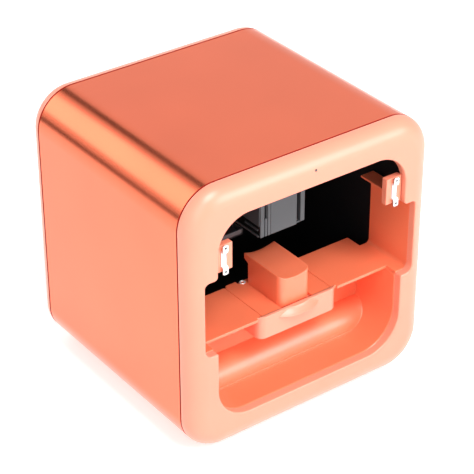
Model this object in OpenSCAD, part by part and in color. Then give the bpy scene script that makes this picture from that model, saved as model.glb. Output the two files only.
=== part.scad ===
// Desktop digital nail printer: a cube housing with an open front bay, a sprung finger rest,
// and an inkjet carriage that a belt and a lead screw carry over the nail.
// Frame: +Z up, +X to the right seen from the front, front face towards -Y, origin on the
// table under the middle of the housing. Modules draw in the housing's own frame (x from the
// middle, y as depth behind the front face, z above the housing's floor) and placed() moves them.

/* [Housing] */
// Width of the housing
body_w = 200; // [198:1:212]
// Depth of the housing, front face to rear face
body_d = 189; // [187:1:200]
// Height of the housing without its feet
body_h = 200; // [200:1:212]
// Radius of the sleeve's four long corners
corner_r = 28.5; // [26:0.5:30]
// Wall of the metallic sleeve
sleeve_wall = 2.4; // [1.8:0.1:3]
// Depth of the front bezel in front of the seam
bezel_depth = 12.3; // [9:0.1:15]
// How far the bezel's rounded edge reaches in over the front face
bezel_edge = 14.5; // [10:0.5:18]
// Depth of the rear cover behind the seam
cover_depth = 12; // [9:0.1:15]
// How far the rear cover's rounded edge reaches in over the rear face
cover_edge = 11.5; // [8:0.5:16]
// Visible groove between the sleeve and each end moulding
seam_gap = 0.7; // [0.4:0.1:1.2]
// Thickness of the bezel's front wall
face_wall = 6; // [4:0.5:8]
// Thickness of the rear cover's wall
cover_wall = 3; // [2:0.5:4]
// Length of the spigots that enter the sleeve
spigot_len = 7; // [5:0.5:8]
// How far the rubber feet hold the housing off the table
foot_stand = 2; // [2:0.5:4]
// Radius of a rubber foot
foot_r = 8; // [6:0.5:9]
// Distance between the feet across the housing
foot_span_x = 120; // [100:2:124]
// Distance between the feet from front to back
foot_span_y = 127; // [110:1:130]

/* [Front opening] */
// Width of the bezel's face beside the narrow part of the opening
bezel_side = 22.5; // [21:0.5:24]
// Width of the bezel's face beside a niche
niche_side = 12.5; // [12:0.5:14]
// Height of the bezel's face above the opening
bezel_top = 22.5; // [20:0.5:26]
// Height of the opening's lower edge
open_low = 22; // [20:1:26]
// Radius of the opening's upper corners
open_top_r = 25; // [18:1:30]
// Radius of the opening's lower corners
open_low_r = 27; // [15:1:30]
// Height of the niches' ceiling
niche_top = 135.7; // [130:0.1:140]
// Rounding of the bezel where a niche meets the narrow opening
niche_nose_r = 2.5; // [1:0.5:4]
// Depth of the niches behind the front face
niche_depth = 46.7; // [40:0.1:50]
// Radius of the cove between niche wall and shelf
cove_r = 3; // [2:0.5:6]
// Width of the niche's floor beside the shelf's front edge
notch_w = 8; // [7:0.5:9]

/* [Finger shelf] */
// Height of the shelf's upper face
shelf_top = 79.5; // [76:0.5:81]
// Thickness of the shelf
shelf_t = 2.3; // [1.8:0.1:3]
// Depth of the shelf's front edge behind the front face
shelf_front = 15.5; // [13:0.5:18]
// Depth of the shelf's rear edge behind the front face
shelf_rear = 60; // [58:0.5:64]
// Width of the loose plate in the middle of the shelf
centre_w = 59; // [50:1:64]
// Width of the finger rest
rest_w = 26; // [22:0.5:30]
// How far the finger rest stands back from the shelf's front edge
rest_setback = 3.5; // [3:0.5:6]
// How far the saddle overhangs the finger rest's back
rest_overhang = 5; // [2:0.5:7]
// Height of the saddle's two rims above the shelf
rest_rise = 22.3; // [18:0.1:24]
// How deep the saddle is hollowed between its rims
saddle_depth = 2.6; // [1.5:0.1:4]
// How far the finger rest sinks when it is pressed
rest_travel = 2.5; // [1.5:0.1:3]
// How far the lift housing is wider than the loose plate, on each side
lift_margin = 4; // [3:0.5:6]
// Height of the lift housing
lift_h = 17.5; // [16:0.5:20]
// Radius of the round nose in front of the finger rest, at its foot
nose_r = 28; // [26:0.2:30]

/* [Palm rest] */
// Depth of the flat floor in front of the roll
floor_depth = 30; // [26:1:34]
// Radius of the roll that the thumb lies on
roll_r = 16; // [12:0.5:18]
// Height of the small step at the foot of the roll
roll_step = 2; // [1:0.5:3]
// Wall of the palm rest moulding
tray_wall = 2; // [1.6:0.1:2.4]

/* [Print carriage] */
// Depth of the carriage's front face at rest
car_front = 34; // [32:0.5:36]
// Height of the carriage's underside above the saddle's rims
print_gap = 26.2; // [22:0.1:28]
// Height of the carriage's cheeks
car_h = 44; // [40:1:46]
// Width of the carriage
car_w = 37; // [35:0.5:40]
// Length of the carriage from front face to back wall
car_len = 50; // [46:1:52]
// Width of the ink cartridge
cart_w = 25; // [22:0.5:26]
// Thickness of the carriage's left cheek
cheek_left = 4.4; // [3:0.1:5]
// Thickness of the carriage's right cheek
cheek_right = 3; // [2:0.1:4]
// Travel of the carriage to each side
car_travel = 50; // [40:1:50]
// Travel of the gantry towards the front
gantry_fore = 14; // [8:1:14]
// Travel of the gantry towards the back
gantry_aft = 34; // [24:1:34]

/* [Drives] */
// Radius of the guide rods
rod_r = 3; // [2:0.5:3.5]
// Distance of the long rods from the side plates
rod_margin = 6.5; // [6:0.5:7.5]
// Height of the lower cross rod above the carriage's underside
cross_rise = 12; // [11:0.5:14]
// Pitch radius of the belt pulleys
pulley_r = 6.37; // [5:0.01:7]
// Thickness of the toothed belt
belt_t = 1.4; // [1:0.1:1.8]
// Width of the toothed belt
belt_w = 5; // [4:0.5:5.5]
// Radius of the lead screw
screw_r = 3; // [2.5:0.5:3.5]
// Side of the square cross-drive motor
motor_side = 28; // [24:1:28]
// Side of the square lead screw motor
long_motor_side = 20; // [16:1:20]
// Length of the cross-drive motor
cross_motor_len = 20; // [16:1:22]
// Length of the lead screw's motor
long_motor_len = 22; // [18:1:22]

/* [Fits] */
// Clearance between mouldings that slip together
fit_gap = 0.3; // [0.2:0.05:0.4]
// Running clearance of a shaft in its bore
run_gap = 0.05; // [0.02:0.01:0.1]
// Clearance between two pieces that pass each other
pass_gap = 0.4; // [0.3:0.05:0.6]

/* [Hidden] */
$fn = 64;
coral = [0.91, 0.42, 0.32];
peach = [0.98, 0.68, 0.53];
salmon = [0.98, 0.50, 0.36];
steel_black = [0.06, 0.06, 0.07];
plastic_grey = [0.40, 0.42, 0.44];
dark_grey = [0.20, 0.20, 0.22];
bright_steel = [0.80, 0.80, 0.82];
brass_tone = [0.78, 0.62, 0.32];
rubber_black = [0.08, 0.08, 0.08];
board_green = [0.10, 0.30, 0.22];

big = 400;
edge_steps = 8;
nib = 0.2;

// Housing
sleeve_y0 = bezel_depth + seam_gap;
sleeve_y1 = body_d - cover_depth - seam_gap;
spigot_wall = 2;
spigot_inset = sleeve_wall + fit_gap;
hollow_inset = spigot_inset + spigot_wall;
foot_y0 = (body_d - foot_span_y) / 2 + 1;
foot_y1 = foot_y0 + foot_span_y;
foot_screw_r = 1.5;
foot_hole_r = foot_screw_r + 0.2;
foot_head_r = 2.8;
foot_head_h = 1.2;

// Front bay
open_w = body_w - 2 * bezel_side;
open_top = body_h - bezel_top;
niche_w = body_w - 2 * niche_side;
niche_low = shelf_top - 0.6;
niche_top_r = 3.5;
niche_low_r = 5.5;
liner_wall = 1.8;
liner_x = niche_w / 2;
liner_out = liner_x + liner_wall;
ceiling_t = 1.5;
shelf_low = shelf_top - shelf_t;
notch_x = liner_x - notch_w;
wall_x = open_w / 2;

// Finger rest
rest_top = shelf_top + rest_rise;
rest_front = shelf_front + rest_setback;
rest_back = shelf_rear - rest_overhang;
saddle_r = (pow(rest_w / 2, 2) + pow(saddle_depth, 2)) / (2 * saddle_depth);
rest_foot = shelf_low - 5.2;
rest_mid = (rest_front + rest_back) / 2;
overhang_t = 4.2;
lift_low = shelf_top - lift_h;
lift_w = centre_w + 2 * lift_margin;
lift_front = shelf_front - 0.5;
lift_wall = 2;
lift_back = shelf_rear + 2;
lift_ledge = centre_w / 2 - 2;
lift_corner = 6;
nose_h = 4.7;
pin_r = 2;
pin_x = rest_w / 2 - 4.5;
pin_y0 = rest_front + 8;
pin_y1 = rest_back - 8;
spring_out = 3.4;
spring_in = 2.3;

// Palm rest
tray_low = open_low - tray_wall;
tray_back = floor_depth + roll_r;

// Chassis
plate_t = 2;
plate_x = liner_out + 1.2;
plate_out = plate_x + plate_t;
plate_y0 = sleeve_y0 + spigot_len + 2;
plate_y1 = sleeve_y1 - spigot_len - 1.5;
deck_room = corner_r - sqrt(
    pow(corner_r - sleeve_wall, 2) - pow(plate_out - body_w / 2 + corner_r, 2)
);
deck_low = deck_room + 1;
deck_top = deck_low + plate_t;
top_room = 11.6;
plate_top = body_h - sleeve_wall - top_room - plate_t;
top_bridge_len = 50;
window_w = 60;
window_h = 16;
window_z = 150;
post_r = 3;
back_y = plate_y1 - plate_t;
bracket_len = 6;

// Carriage
car_low = rest_top + print_gap;
car_x = car_w / 2;
car_back = car_front + car_len;
car_top = car_low + car_h;
cart_left = -car_x + cheek_left + 1;
cart_right = cart_left + cart_w;
cart_y1 = car_back - 5;
cart_top = car_top - 8;
floor_t = 2;
snout_x0 = cart_left + 5;
snout_x1 = cart_right - 5;
snout_y0 = car_front + 20;
snout_y1 = car_front + 38;
nozzle_t = 0.8;
nozzle_x = (cart_left + cart_right) / 2;
nozzle_low = car_low - nozzle_t - 0.2;
cross_y = car_back + 6;
shoe_y = cross_y + 5.8;
bush_r = 5;
bush_len = 8;
latch_y = car_front + 28;
latch_z = cart_top + 3;
latch_arm = 18;
latch_pin_r = 1.5;

// Gantry
rod_x = plate_x - rod_margin;
rod_z = car_top - 4;
bracket_in = rod_x - rod_r - 2;
cross_low = car_low + cross_rise;
cross_high = car_top;
rod_seat = 4;
stop_r = rod_r + 1.6;
stop_len = 3;
cross_stop_len = 5.3;
block_in = wall_x - 3.5;
shoe_x = block_in - cross_stop_len - nib - car_travel;
block_out = plate_x - 0.5;
block_y0 = cross_y - 10;
block_y1 = cross_y + 15;
block_low = cross_low - 8;
block_top = rod_z + 10;
bridge_y = block_y1;
bridge_over = 5;
bridge_drop = 14;
bridge_h = 26;
bridge_window_w = 40;
bridge_window_h = 8;
belt_y0 = bridge_y - 1 - belt_w;
belt_z = (cross_low + cross_high) / 2 + 1;
pulley_x = block_in - 10;
run_z = belt_z - pulley_r;
axle_r = 1.5;
shaft_r = 2;
shaft_seat = 6;
screw_z = cross_low + 6;
long_motor_y = back_y - long_motor_len;
screw_y0 = block_y0 - gantry_fore - 4;

// Service station
station_right = -12;
station_front = shelf_rear + 2;
station_back = station_front + 38;
station_top = car_low - 8.4;
station_low = station_top - 4.6;
cap_x = -46;
cap_half_x = 7;
cap_half_y = 8;
cap_rim = 1.5;
station_leg = 14;
cap_y = station_front + 22;
cap_top = nozzle_low - pass_gap;
wiper_x = -26;

// Camera under the top bridge
camera_half = 12;
camera_y = plate_y0 + camera_half + 4;
camera_r = 5;

// Electronics behind the chassis
board_y = plate_y1 + 3;
board_t = 1.6;
board_x = 62;
board_low = 58;
board_high = 122;
post_inset = 6;
post_x = board_x - post_inset;
post_low = board_low + post_inset;
post_high = board_high - post_inset;
chip_x = -10;
chip_z = 84;
chip_side = 16;
chip_t = 1.6;
plug_x = 20;
plug_w = 24;
plug_z = 72;
plug_h = 6;
plug_t = 5;
fin_count = 6;
fin_pitch = 3;
fin_t = 1;
fin_h = 4.5;
sink_t = 1.5;
vent_count = 11;
vent_pitch = 7;
vent_w = 3;
vent_h = 34;
vent_low = 128;
jack_x = -48;
jack_z = 66;
jack_r = 4.5;
jack_bore_r = 2.8;
jack_bore_len = 9;
port_x = -24;
button_x = 52;
button_z = 66;
button_r = 6;
button_travel = 1.5;
cover_in = body_d - cover_wall;
button_flange_y = cover_in - 2.2;
lens_z = (open_top + body_h) / 2 + 0.2;
lens_r = 0.6;

// Magnetic catches
catch_in = wall_x - 13.8;
catch_low = niche_top + 2.7;
catch_h = 19.6;
catch_high = catch_low + catch_h;
arch_rise = max(0, catch_high - open_top + open_top_r);
catch_out = wall_x - open_top_r + sqrt(pow(open_top_r, 2) - pow(arch_rise, 2)) - nib;
catch_front = face_wall - 2.3;
catch_back = face_wall + 2.5;
catch_x = wall_x - 6.9;
catch_w = 4.2;
catch_mid = (catch_low + catch_high) / 2 - 0.6;
ear_pitch = 17.5;
ear_front = catch_front - 2.1;
ear_t = 0.8;

// ---- helpers ----

// From the housing's own frame to the part's frame
module placed() {
    translate([0, -body_d / 2, foot_stand]) children();
}

// A flat outline in (x, z), made solid from depth y0 to depth y1
module slab(y0, y1) {
    translate([0, y1, 0]) rotate([90, 0, 0]) linear_extrude(y1 - y0) children();
}

// A flat outline in (y, z), made solid from x0 to x1
module across(x0, x1) {
    translate([x0, 0, 0]) rotate([90, 0, 90]) linear_extrude(x1 - x0) children();
}

// A box given by its two corners
module block(low, high) {
    translate(low) cube(high - low);
}

// A round bar along the depth, the width or the height
module bar_y(x, z, r, y0, y1) {
    translate([x, y1, z]) rotate([90, 0, 0]) cylinder(r = r, h = y1 - y0);
}
module bar_x(y, z, r, x0, x1) {
    translate([x0, y, z]) rotate([0, 90, 0]) cylinder(r = r, h = x1 - x0);
}
module bar_z(x, y, r, z0, z1) {
    translate([x, y, z0]) cylinder(r = r, h = z1 - z0);
}

// Both sides of the housing
module both_sides() {
    children();
    mirror([1, 0, 0]) children();
}

// The housing's rounded square, drawn in from its outside by inset
module housing_outline(inset) {
    arch(body_w - 2 * inset, inset, body_h - inset, corner_r - inset, corner_r - inset);
}

// An upright rectangle with its own radius at the foot and at the top
module arch(w, low, top, r_low, r_top) {
    mid = (low + top) / 2;
    translate([-w / 2, low + r_low]) square([w, top - low - r_low - r_top]);
    translate([-w / 2 + r_low, low]) square([w - 2 * r_low, mid - low]);
    translate([-w / 2 + r_top, mid]) square([w - 2 * r_top, top - mid]);
    for (side = [-1, 1]) {
        translate([side * (w / 2 - r_low), low + r_low]) circle(r = r_low, $fn = 96);
        translate([side * (w / 2 - r_top), top - r_top]) circle(r = r_top, $fn = 96);
    }
}

// Points (depth, inset) of a quarter ellipse from the seam to the face
function edge_curve(depth, inset) = [
    for (i = [0 : edge_steps])
        let (a = 90 * i / edge_steps)
        [depth * (1 - sin(a)), inset * (1 - cos(a))]
];
function backwards(list) = [for (i = [len(list) - 1 : -1 : 0]) list[i]];

// The end of the housing: its rounded square, depth thick, face at y = 0 with a soft edge
module soft_end(depth, inset) {
    curve = edge_curve(depth, inset);
    flat_x = body_w / 2 - corner_r;
    across(-flat_x, flat_x) polygon(concat(
        [for (p = curve) [p[0], p[1]]],
        [for (p = backwards(curve)) [p[0], body_h - p[1]]]
    ));
    translate([0, 0, corner_r]) linear_extrude(body_h - 2 * corner_r) polygon(concat(
        [for (p = curve) [body_w / 2 - p[1], p[0]]],
        [for (p = backwards(curve)) [-body_w / 2 + p[1], p[0]]]
    ));
    for (x = [-flat_x, flat_x], z = [corner_r, body_h - corner_r])
        translate([x, 0, z]) rotate([-90, 0, 0]) rotate_extrude($fn = 96) polygon(concat(
            [[0, depth]],
            [for (p = curve) [corner_r - p[1], p[0]]],
            [[0, 0]]
        ));
}

// The spigot and the hollow of an end moulding, from depth y0 on
module spigot(y0, y1) {
    slab(y0, y1) difference() {
        housing_outline(spigot_inset);
        housing_outline(hollow_inset);
    }
}

// The outline of the front opening with its two niches, and their rounded upper corners
module opening_outline() {
    arch(open_w, open_low, open_top, open_low_r, open_top_r);
    arch(niche_w, niche_low, niche_top, niche_low_r, niche_top_r);
    nose_x = wall_x + niche_nose_r;
    nose_z = niche_top + niche_nose_r;
    for (side = [0, 1]) mirror([side, 0]) polygon(concat(
        [[wall_x - 1, nose_z], [wall_x - 1, niche_top - 1], [nose_x, niche_top - 1]],
        [for (a = [270 : -15 : 180]) [nose_x + niche_nose_r * cos(a), nose_z + niche_nose_r * sin(a)]]
    ));
}

// ---- housing ----

module foot_places() {
    for (x = [-foot_span_x / 2, foot_span_x / 2], y = [foot_y0, foot_y1])
        translate([x, y, 0]) children();
}

module outer_sleeve() {
    color(coral) placed() difference() {
        slab(sleeve_y0, sleeve_y1) difference() {
            housing_outline(0);
            housing_outline(sleeve_wall);
        }
        foot_places() translate([0, 0, -1]) cylinder(r = foot_hole_r, h = sleeve_wall + 2);
    }
}

module front_bezel() {
    color(peach) placed() {
        difference() {
            soft_end(bezel_depth, bezel_edge);
            slab(face_wall, bezel_depth + 1) housing_outline(hollow_inset);
            slab(-1, face_wall + 1) opening_outline();
            bar_y(0, lens_z, lens_r, -1, face_wall + 1);
        }
        spigot(bezel_depth, bezel_depth + spigot_len);
    }
}

module rear_cover() {
    color(peach) placed() difference() {
        union() {
            translate([0, body_d, 0]) mirror([0, 1, 0]) soft_end(cover_depth, cover_edge);
            spigot(body_d - cover_depth - spigot_len, body_d - cover_depth);
        }
        slab(body_d - cover_depth - 1, cover_in) housing_outline(hollow_inset);
        for (i = [0 : vent_count - 1])
            slab(cover_in - 1, body_d + 1)
                translate([(i - (vent_count - 1) / 2) * vent_pitch, vent_low])
                    arch(vent_w, 0, vent_h, vent_w / 2 - 0.01, vent_w / 2 - 0.01);
        bar_y(jack_x, jack_z, jack_r + fit_gap, cover_in - 1, body_d + 1);
        bar_y(button_x, button_z, button_r + fit_gap, cover_in - 1, body_d + 1);
        block([port_x - 6.5, cover_in - 1, jack_z - 5.7], [port_x + 6.5, body_d + 1, jack_z + 5.7]);
    }
}

module rubber_feet() {
    color(rubber_black) placed() foot_places() difference() {
        translate([0, 0, -foot_stand]) cylinder(r1 = foot_r - 1, r2 = foot_r, h = foot_stand);
        translate([0, 0, -foot_stand - 1]) cylinder(r = foot_hole_r, h = foot_stand + 2);
        translate([0, 0, -foot_stand - 1]) cylinder(r = foot_head_r + fit_gap, h = 1 + foot_head_h + nib);
    }
}

module foot_screws() {
    color(bright_steel) placed() foot_places() {
        translate([0, 0, -foot_stand + nib]) cylinder(r = foot_head_r, h = foot_head_h);
        translate([0, 0, -foot_stand + nib]) cylinder(r = foot_screw_r, h = deck_low + foot_stand);
    }
}

// ---- chassis ----

module base_plate() {
    color(steel_black) placed() difference() {
        union() {
            block([-plate_out, plate_y0, deck_low], [plate_out, plate_y1, deck_top]);
            intersection() {
                foot_places() translate([0, 0, sleeve_wall])
                    cylinder(r = foot_r - 1, h = deck_low - sleeve_wall + 1);
                block([-plate_out, plate_y0, 0], [plate_out, plate_y1, deck_top]);
            }
        }
        foot_places() cylinder(r = foot_screw_r + run_gap, h = deck_top + 1);
    }
}

module side_plate() {
    block([plate_x, plate_y0, deck_top], [plate_out, plate_y1, plate_top]);
}
module side_plate_left() {
    color(steel_black) placed() mirror([1, 0, 0]) side_plate();
}
module side_plate_right() {
    window = long_motor_side / 2 + 0.5;
    color(steel_black) placed() difference() {
        side_plate();
        block(
            [plate_x - 1, long_motor_y - 1, screw_z - window],
            [plate_out + 1, plate_y1 + 1, screw_z + window]
        );
    }
}

module back_plate() {
    color(steel_black) placed() {
        difference() {
            block([-plate_x, back_y, deck_top], [plate_x, plate_y1, plate_top]);
            slab(back_y - 1, plate_y1 + 1)
                translate([0, window_z]) square([window_w, window_h], center = true);
        }
        for (x = [-post_x, post_x], z = [post_low, post_high])
            bar_y(x, z, post_r, plate_y1 - 1, board_y);
    }
}

module top_bridge() {
    color(steel_black) placed()
        block(
            [-plate_out, plate_y0, plate_top],
            [plate_out, plate_y0 + top_bridge_len, plate_top + plate_t]
        );
}

module long_rods() {
    color(bright_steel) placed() both_sides()
        bar_y(rod_x, rod_z, rod_r, plate_y0, back_y);
}

// The brackets at the rods' ends, and the rings that end the gantry's travel
module rod_brackets() {
    stop_y0 = block_y0 - gantry_fore - nib - stop_len;
    stop_y1 = block_y1 + gantry_aft + nib;
    color(steel_black) placed() both_sides() {
        for (y = [plate_y0, back_y - bracket_len])
            difference() {
                block([bracket_in, y, rod_z - 8], [plate_x, y + bracket_len, rod_z + 8]);
                bar_y(rod_x, rod_z, rod_r, y - 1, y + bracket_len + 1);
            }
        for (y = [stop_y0, stop_y1])
            difference() {
                bar_y(rod_x, rod_z, stop_r, y, y + stop_len);
                bar_y(rod_x, rod_z, rod_r, y - 1, y + stop_len + 1);
            }
    }
}

// ---- front bay ----

module bay_liner() {
    notch_y = shelf_front + 1.7;
    cove_x = liner_x - cove_r;
    color(salmon) placed() difference() {
        union() {
            block([-notch_x, shelf_front, shelf_low], [notch_x, shelf_rear, shelf_top]);
            both_sides() {
                block([wall_x, face_wall, shelf_low], [liner_out, niche_depth, shelf_top]);
                block([liner_x, face_wall, shelf_top - 1], [liner_out, niche_depth, niche_top + 1]);
                block([wall_x, face_wall, niche_top], [liner_out, niche_depth, niche_top + ceiling_t]);
                slab(face_wall, niche_depth) difference() {
                    translate([cove_x, shelf_top - 1]) square([cove_r + 1, cove_r + 1]);
                    translate([cove_x, shelf_top + cove_r]) circle(r = cove_r);
                }
            }
        }
        block([-lift_w / 2 - nib, 0, shelf_low - 1], [lift_w / 2 + nib, notch_y, shelf_top + 1]);
        block([-centre_w / 2, 0, shelf_low - 1], [centre_w / 2, shelf_rear + 1, shelf_top + 1]);
    }
}

module centre_plate() {
    half = centre_w / 2 - 0.15;
    tab_in = 19;
    color(salmon) placed() difference() {
        block([-half, lift_front + lift_wall + nib, shelf_low], [half, shelf_rear + 1.5, shelf_top]);
        both_sides() {
            block([half - 1.6, shelf_rear - 0.7, shelf_low - 1], [half + 1, shelf_rear + 3, shelf_top + 1]);
            block([tab_in - 1.5, shelf_rear - 2, shelf_low - 1], [tab_in, shelf_rear + 3, shelf_top + 1]);
            block([-1, shelf_rear, shelf_low - 1], [tab_in - 1, shelf_rear + 3, shelf_top + 1]);
        }
        block(
            [-rest_w / 2 - pass_gap, 0, shelf_low - 1],
            [rest_w / 2 + pass_gap, rest_back + pass_gap, shelf_top + 1]
        );
    }
}

module lift_plan(inset) {
    x = lift_w / 2 - inset;
    r = lift_corner - inset;
    translate([-x, lift_front + inset + r]) square([2 * x, lift_back - lift_front - 2 * inset - r]);
    translate([-x + r, lift_front + inset]) square([2 * (x - r), 2 * r]);
    for (side = [-1, 1]) translate([side * (x - r), lift_front + inset + r]) circle(r = r);
}

module lift_housing() {
    rim_y = lift_front + lift_wall;
    color(peach) placed() {
        difference() {
            translate([0, 0, lift_low]) linear_extrude(lift_h) lift_plan(0);
            translate([0, 0, lift_low + lift_wall]) linear_extrude(lift_h) intersection() {
                lift_plan(lift_wall);
                translate([-lift_ledge, 0]) square([2 * lift_ledge, big]);
            }
            block([-lift_w, rim_y, shelf_low], [lift_w, big, shelf_top + 1]);
            for (y = [pin_y0, pin_y1], x = [-pin_x, pin_x])
                bar_z(x, y, pin_r, lift_low + 0.8, lift_low + lift_wall + 1);
        }
        difference() {
            translate([0, rest_mid, shelf_top - nose_h])
                cylinder(r1 = nose_r, r2 = nose_r - nose_h, h = nose_h, $fn = 128);
            block([-big, lift_front + 1, 0], [big, big, big]);
        }
    }
}

module finger_rest() {
    plan_r = 5;
    color(salmon) placed() difference() {
        intersection() {
            across(-rest_w / 2, rest_w / 2) polygon([
                [rest_front, rest_foot],
                [rest_back, rest_foot],
                [rest_back, rest_top - overhang_t - 2],
                [shelf_rear, rest_top - overhang_t],
                [shelf_rear, rest_top],
                [rest_front, rest_top]
            ]);
            linear_extrude(rest_top + 1) {
                translate([-rest_w / 2, rest_front + plan_r])
                    square([rest_w, shelf_rear - rest_front - plan_r]);
                translate([-rest_w / 2 + plan_r, rest_front])
                    square([rest_w - 2 * plan_r, 2 * plan_r]);
                for (side = [-1, 1])
                    translate([side * (rest_w / 2 - plan_r), rest_front + plan_r]) circle(r = plan_r);
            }
        }
        bar_y(0, rest_top - saddle_depth + saddle_r, saddle_r, 0, shelf_rear + 1, $fn = 128);
        for (y = [pin_y0, pin_y1], x = [-pin_x, pin_x])
            bar_z(x, y, pin_r + run_gap, rest_foot - 1, rest_foot + 9);
    }
}

module lift_pins() {
    color(bright_steel) placed() for (y = [pin_y0, pin_y1], x = [-pin_x, pin_x])
        bar_z(x, y, pin_r, lift_low + 0.8, rest_foot + 5);
}

module lift_springs() {
    color(bright_steel) placed() for (y = [pin_y0, pin_y1], x = [-pin_x, pin_x])
        translate([x, y, lift_low + lift_wall]) difference() {
            cylinder(r = spring_out, h = rest_foot - lift_low - lift_wall);
            translate([0, 0, -1]) cylinder(r = spring_in, h = big);
        }
}

module finger_switch() {
    switch_low = lift_low + lift_wall;
    color(steel_black) placed() {
        block([-3.2, rest_mid - 3.2, switch_low], [3.2, rest_mid + 3.2, switch_low + 4]);
        bar_z(0, rest_mid, 1.6, switch_low + 3, rest_foot - rest_travel - nib);
    }
}

module palm_rest() {
    color(peach) placed() difference() {
        union() {
            slab(face_wall, tray_back + tray_wall) difference() {
                arch(open_w + 2 * tray_wall, tray_low, open_top, open_low_r + tray_wall, 10);
                arch(open_w, open_low, open_top + 50, open_low_r, 10);
                translate([-big, shelf_low]) square([2 * big, big]);
            }
            intersection() {
                slab(face_wall, tray_back + tray_wall) arch(
                    open_w + 2 * tray_wall, tray_low, open_top, open_low_r + tray_wall, 10
                );
                union() {
                    block(
                        [-wall_x - 1, tray_back, tray_low],
                        [wall_x + 1, tray_back + tray_wall, shelf_low]
                    );
                    block(
                        [-wall_x - 1, floor_depth, tray_low],
                        [wall_x + 1, tray_back + 1, open_low + roll_step]
                    );
                    intersection() {
                        bar_x(tray_back, open_low + roll_step, roll_r, -wall_x - 1, wall_x + 1);
                        block([-big, 0, open_low], [big, tray_back + 1, big]);
                    }
                }
            }
            for (x = [-50, 50], y = [plate_y0 + 4, tray_back - 6])
                bar_z(x, y, 4, deck_top, tray_low + 1);
        }
        block(
            [-lift_w / 2 - nib, tray_back - 1, lift_low],
            [lift_w / 2 + nib, tray_back + 3, shelf_top + 1]
        );
    }
}

// ---- magnetic catches for the front cover ----

module catch_block() {
    difference() {
        union() {
            block([catch_in, catch_front, catch_low], [catch_out, catch_back, catch_high]);
            block([wall_x - 2, face_wall, catch_low + 2], [wall_x + 7, catch_back, catch_high - 2]);
        }
        block(
            [catch_x - catch_w / 2 - nib, catch_front - 1, catch_mid - 5.2],
            [catch_x + catch_w / 2 + nib, catch_back - 1, catch_mid + 5.2]
        );
        for (side = [-1, 1])
            bar_y(catch_x, catch_mid + side * ear_pitch / 2, 0.85, catch_front - 1, catch_back + 1);
    }
}
module catch_block_left() {
    color(salmon) placed() mirror([1, 0, 0]) catch_block();
}
module catch_block_right() {
    color(salmon) placed() catch_block();
}

module catch_plate() {
    bar_top = catch_mid + 5.5;
    bar_low = catch_mid - 5.5;
    difference() {
        union() {
            block(
                [catch_x - catch_w / 2, catch_front - 1, bar_low],
                [catch_x + catch_w / 2, catch_front, bar_top]
            );
            for (side = [-1, 1]) {
                ear_z = catch_mid + side * ear_pitch / 2;
                web_z = catch_mid + side * (ear_pitch / 2 - 2.6);
                block(
                    [catch_x - catch_w / 2, ear_front, ear_z - 2.1],
                    [catch_x + catch_w / 2, ear_front + ear_t, ear_z + 2.1]
                );
                block(
                    [catch_x - catch_w / 2, ear_front, web_z - 0.6],
                    [catch_x + catch_w / 2, catch_front, web_z + 0.6]
                );
            }
        }
        for (side = [-1, 1])
            bar_y(catch_x, catch_mid + side * ear_pitch / 2, 0.9, 0, catch_front + 1);
    }
}
module catch_plate_left() {
    color(bright_steel) placed() mirror([1, 0, 0]) catch_plate();
}
module catch_plate_right() {
    color(bright_steel) placed() catch_plate();
}

module catch_magnets() {
    color(dark_grey) placed() both_sides() block(
        [catch_x - catch_w / 2, catch_front, catch_mid - 5],
        [catch_x + catch_w / 2, catch_back - 1 - nib, catch_mid + 5]
    );
}

module catch_screws() {
    color(dark_grey) placed() both_sides() for (side = [-1, 1])
        bar_y(catch_x, catch_mid + side * ear_pitch / 2, 0.8, ear_front + 0.3, catch_back - 0.5);
}

module status_lens() {
    color("white") placed() {
        bar_y(0, lens_z, lens_r - run_gap, 0.3, face_wall + 1);
        bar_y(0, lens_z, 2, face_wall, face_wall + 1.2);
    }
}

// ---- gantry ----

module gantry_block() {
    difference() {
        block([block_in, block_y0, block_low], [block_out, block_y1, block_top]);
        bar_y(rod_x, rod_z, bush_r, block_y0 - 1, block_y0 + bush_len);
        bar_y(rod_x, rod_z, bush_r, block_y1 - bush_len, block_y1 + 1);
        bar_y(rod_x, rod_z, rod_r + 0.5, block_y0 - 1, block_y1 + 1);
        for (z = [cross_low, cross_high])
            bar_x(cross_y, z, rod_r, block_in - 1, block_in + rod_seat);
        bar_y(rod_x, screw_z, bush_r, block_y0 - 1, block_y1 + 1);
    }
}
module gantry_block_left() {
    color(dark_grey) placed() mirror([1, 0, 0]) gantry_block();
}
module gantry_block_right() {
    color(dark_grey) placed() gantry_block();
}

module bush(len) {
    difference() {
        cylinder(r = bush_r, h = len);
        translate([0, 0, -1]) cylinder(r = rod_r + run_gap, h = len + 2);
    }
}

module long_bushes() {
    color(brass_tone) placed() both_sides() for (y = [block_y0 + bush_len, block_y1])
        translate([rod_x, y, rod_z]) rotate([90, 0, 0]) bush(bush_len);
}

module cross_rods() {
    color(bright_steel) placed() for (z = [cross_low, cross_high])
        bar_x(cross_y, z, rod_r, -block_in - rod_seat, block_in + rod_seat);
}

// Sleeves on the cross rods that end the carriage's travel
module cross_stops() {
    color(rubber_black) placed() both_sides() for (z = [cross_low, cross_high]) difference() {
        bar_x(cross_y, z, stop_r, block_in - cross_stop_len, block_in);
        bar_x(cross_y, z, rod_r, block_in - cross_stop_len - 1, block_in + 1);
    }
}

module gantry_bridge() {
    color(dark_grey) placed() difference() {
        slab(bridge_y, bridge_y + plate_t) difference() {
            translate([-block_in - bridge_over, belt_z - bridge_drop])
                square([2 * (block_in + bridge_over), bridge_h]);
            translate([-bridge_window_w / 2, belt_z - bridge_window_h / 2])
                square([bridge_window_w, bridge_window_h]);
        }
        bar_y(-pulley_x, belt_z, 3, bridge_y - 1, bridge_y + 3);
        bar_y(pulley_x, belt_z, axle_r, bridge_y - 1, bridge_y + 3);
    }
}

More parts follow.
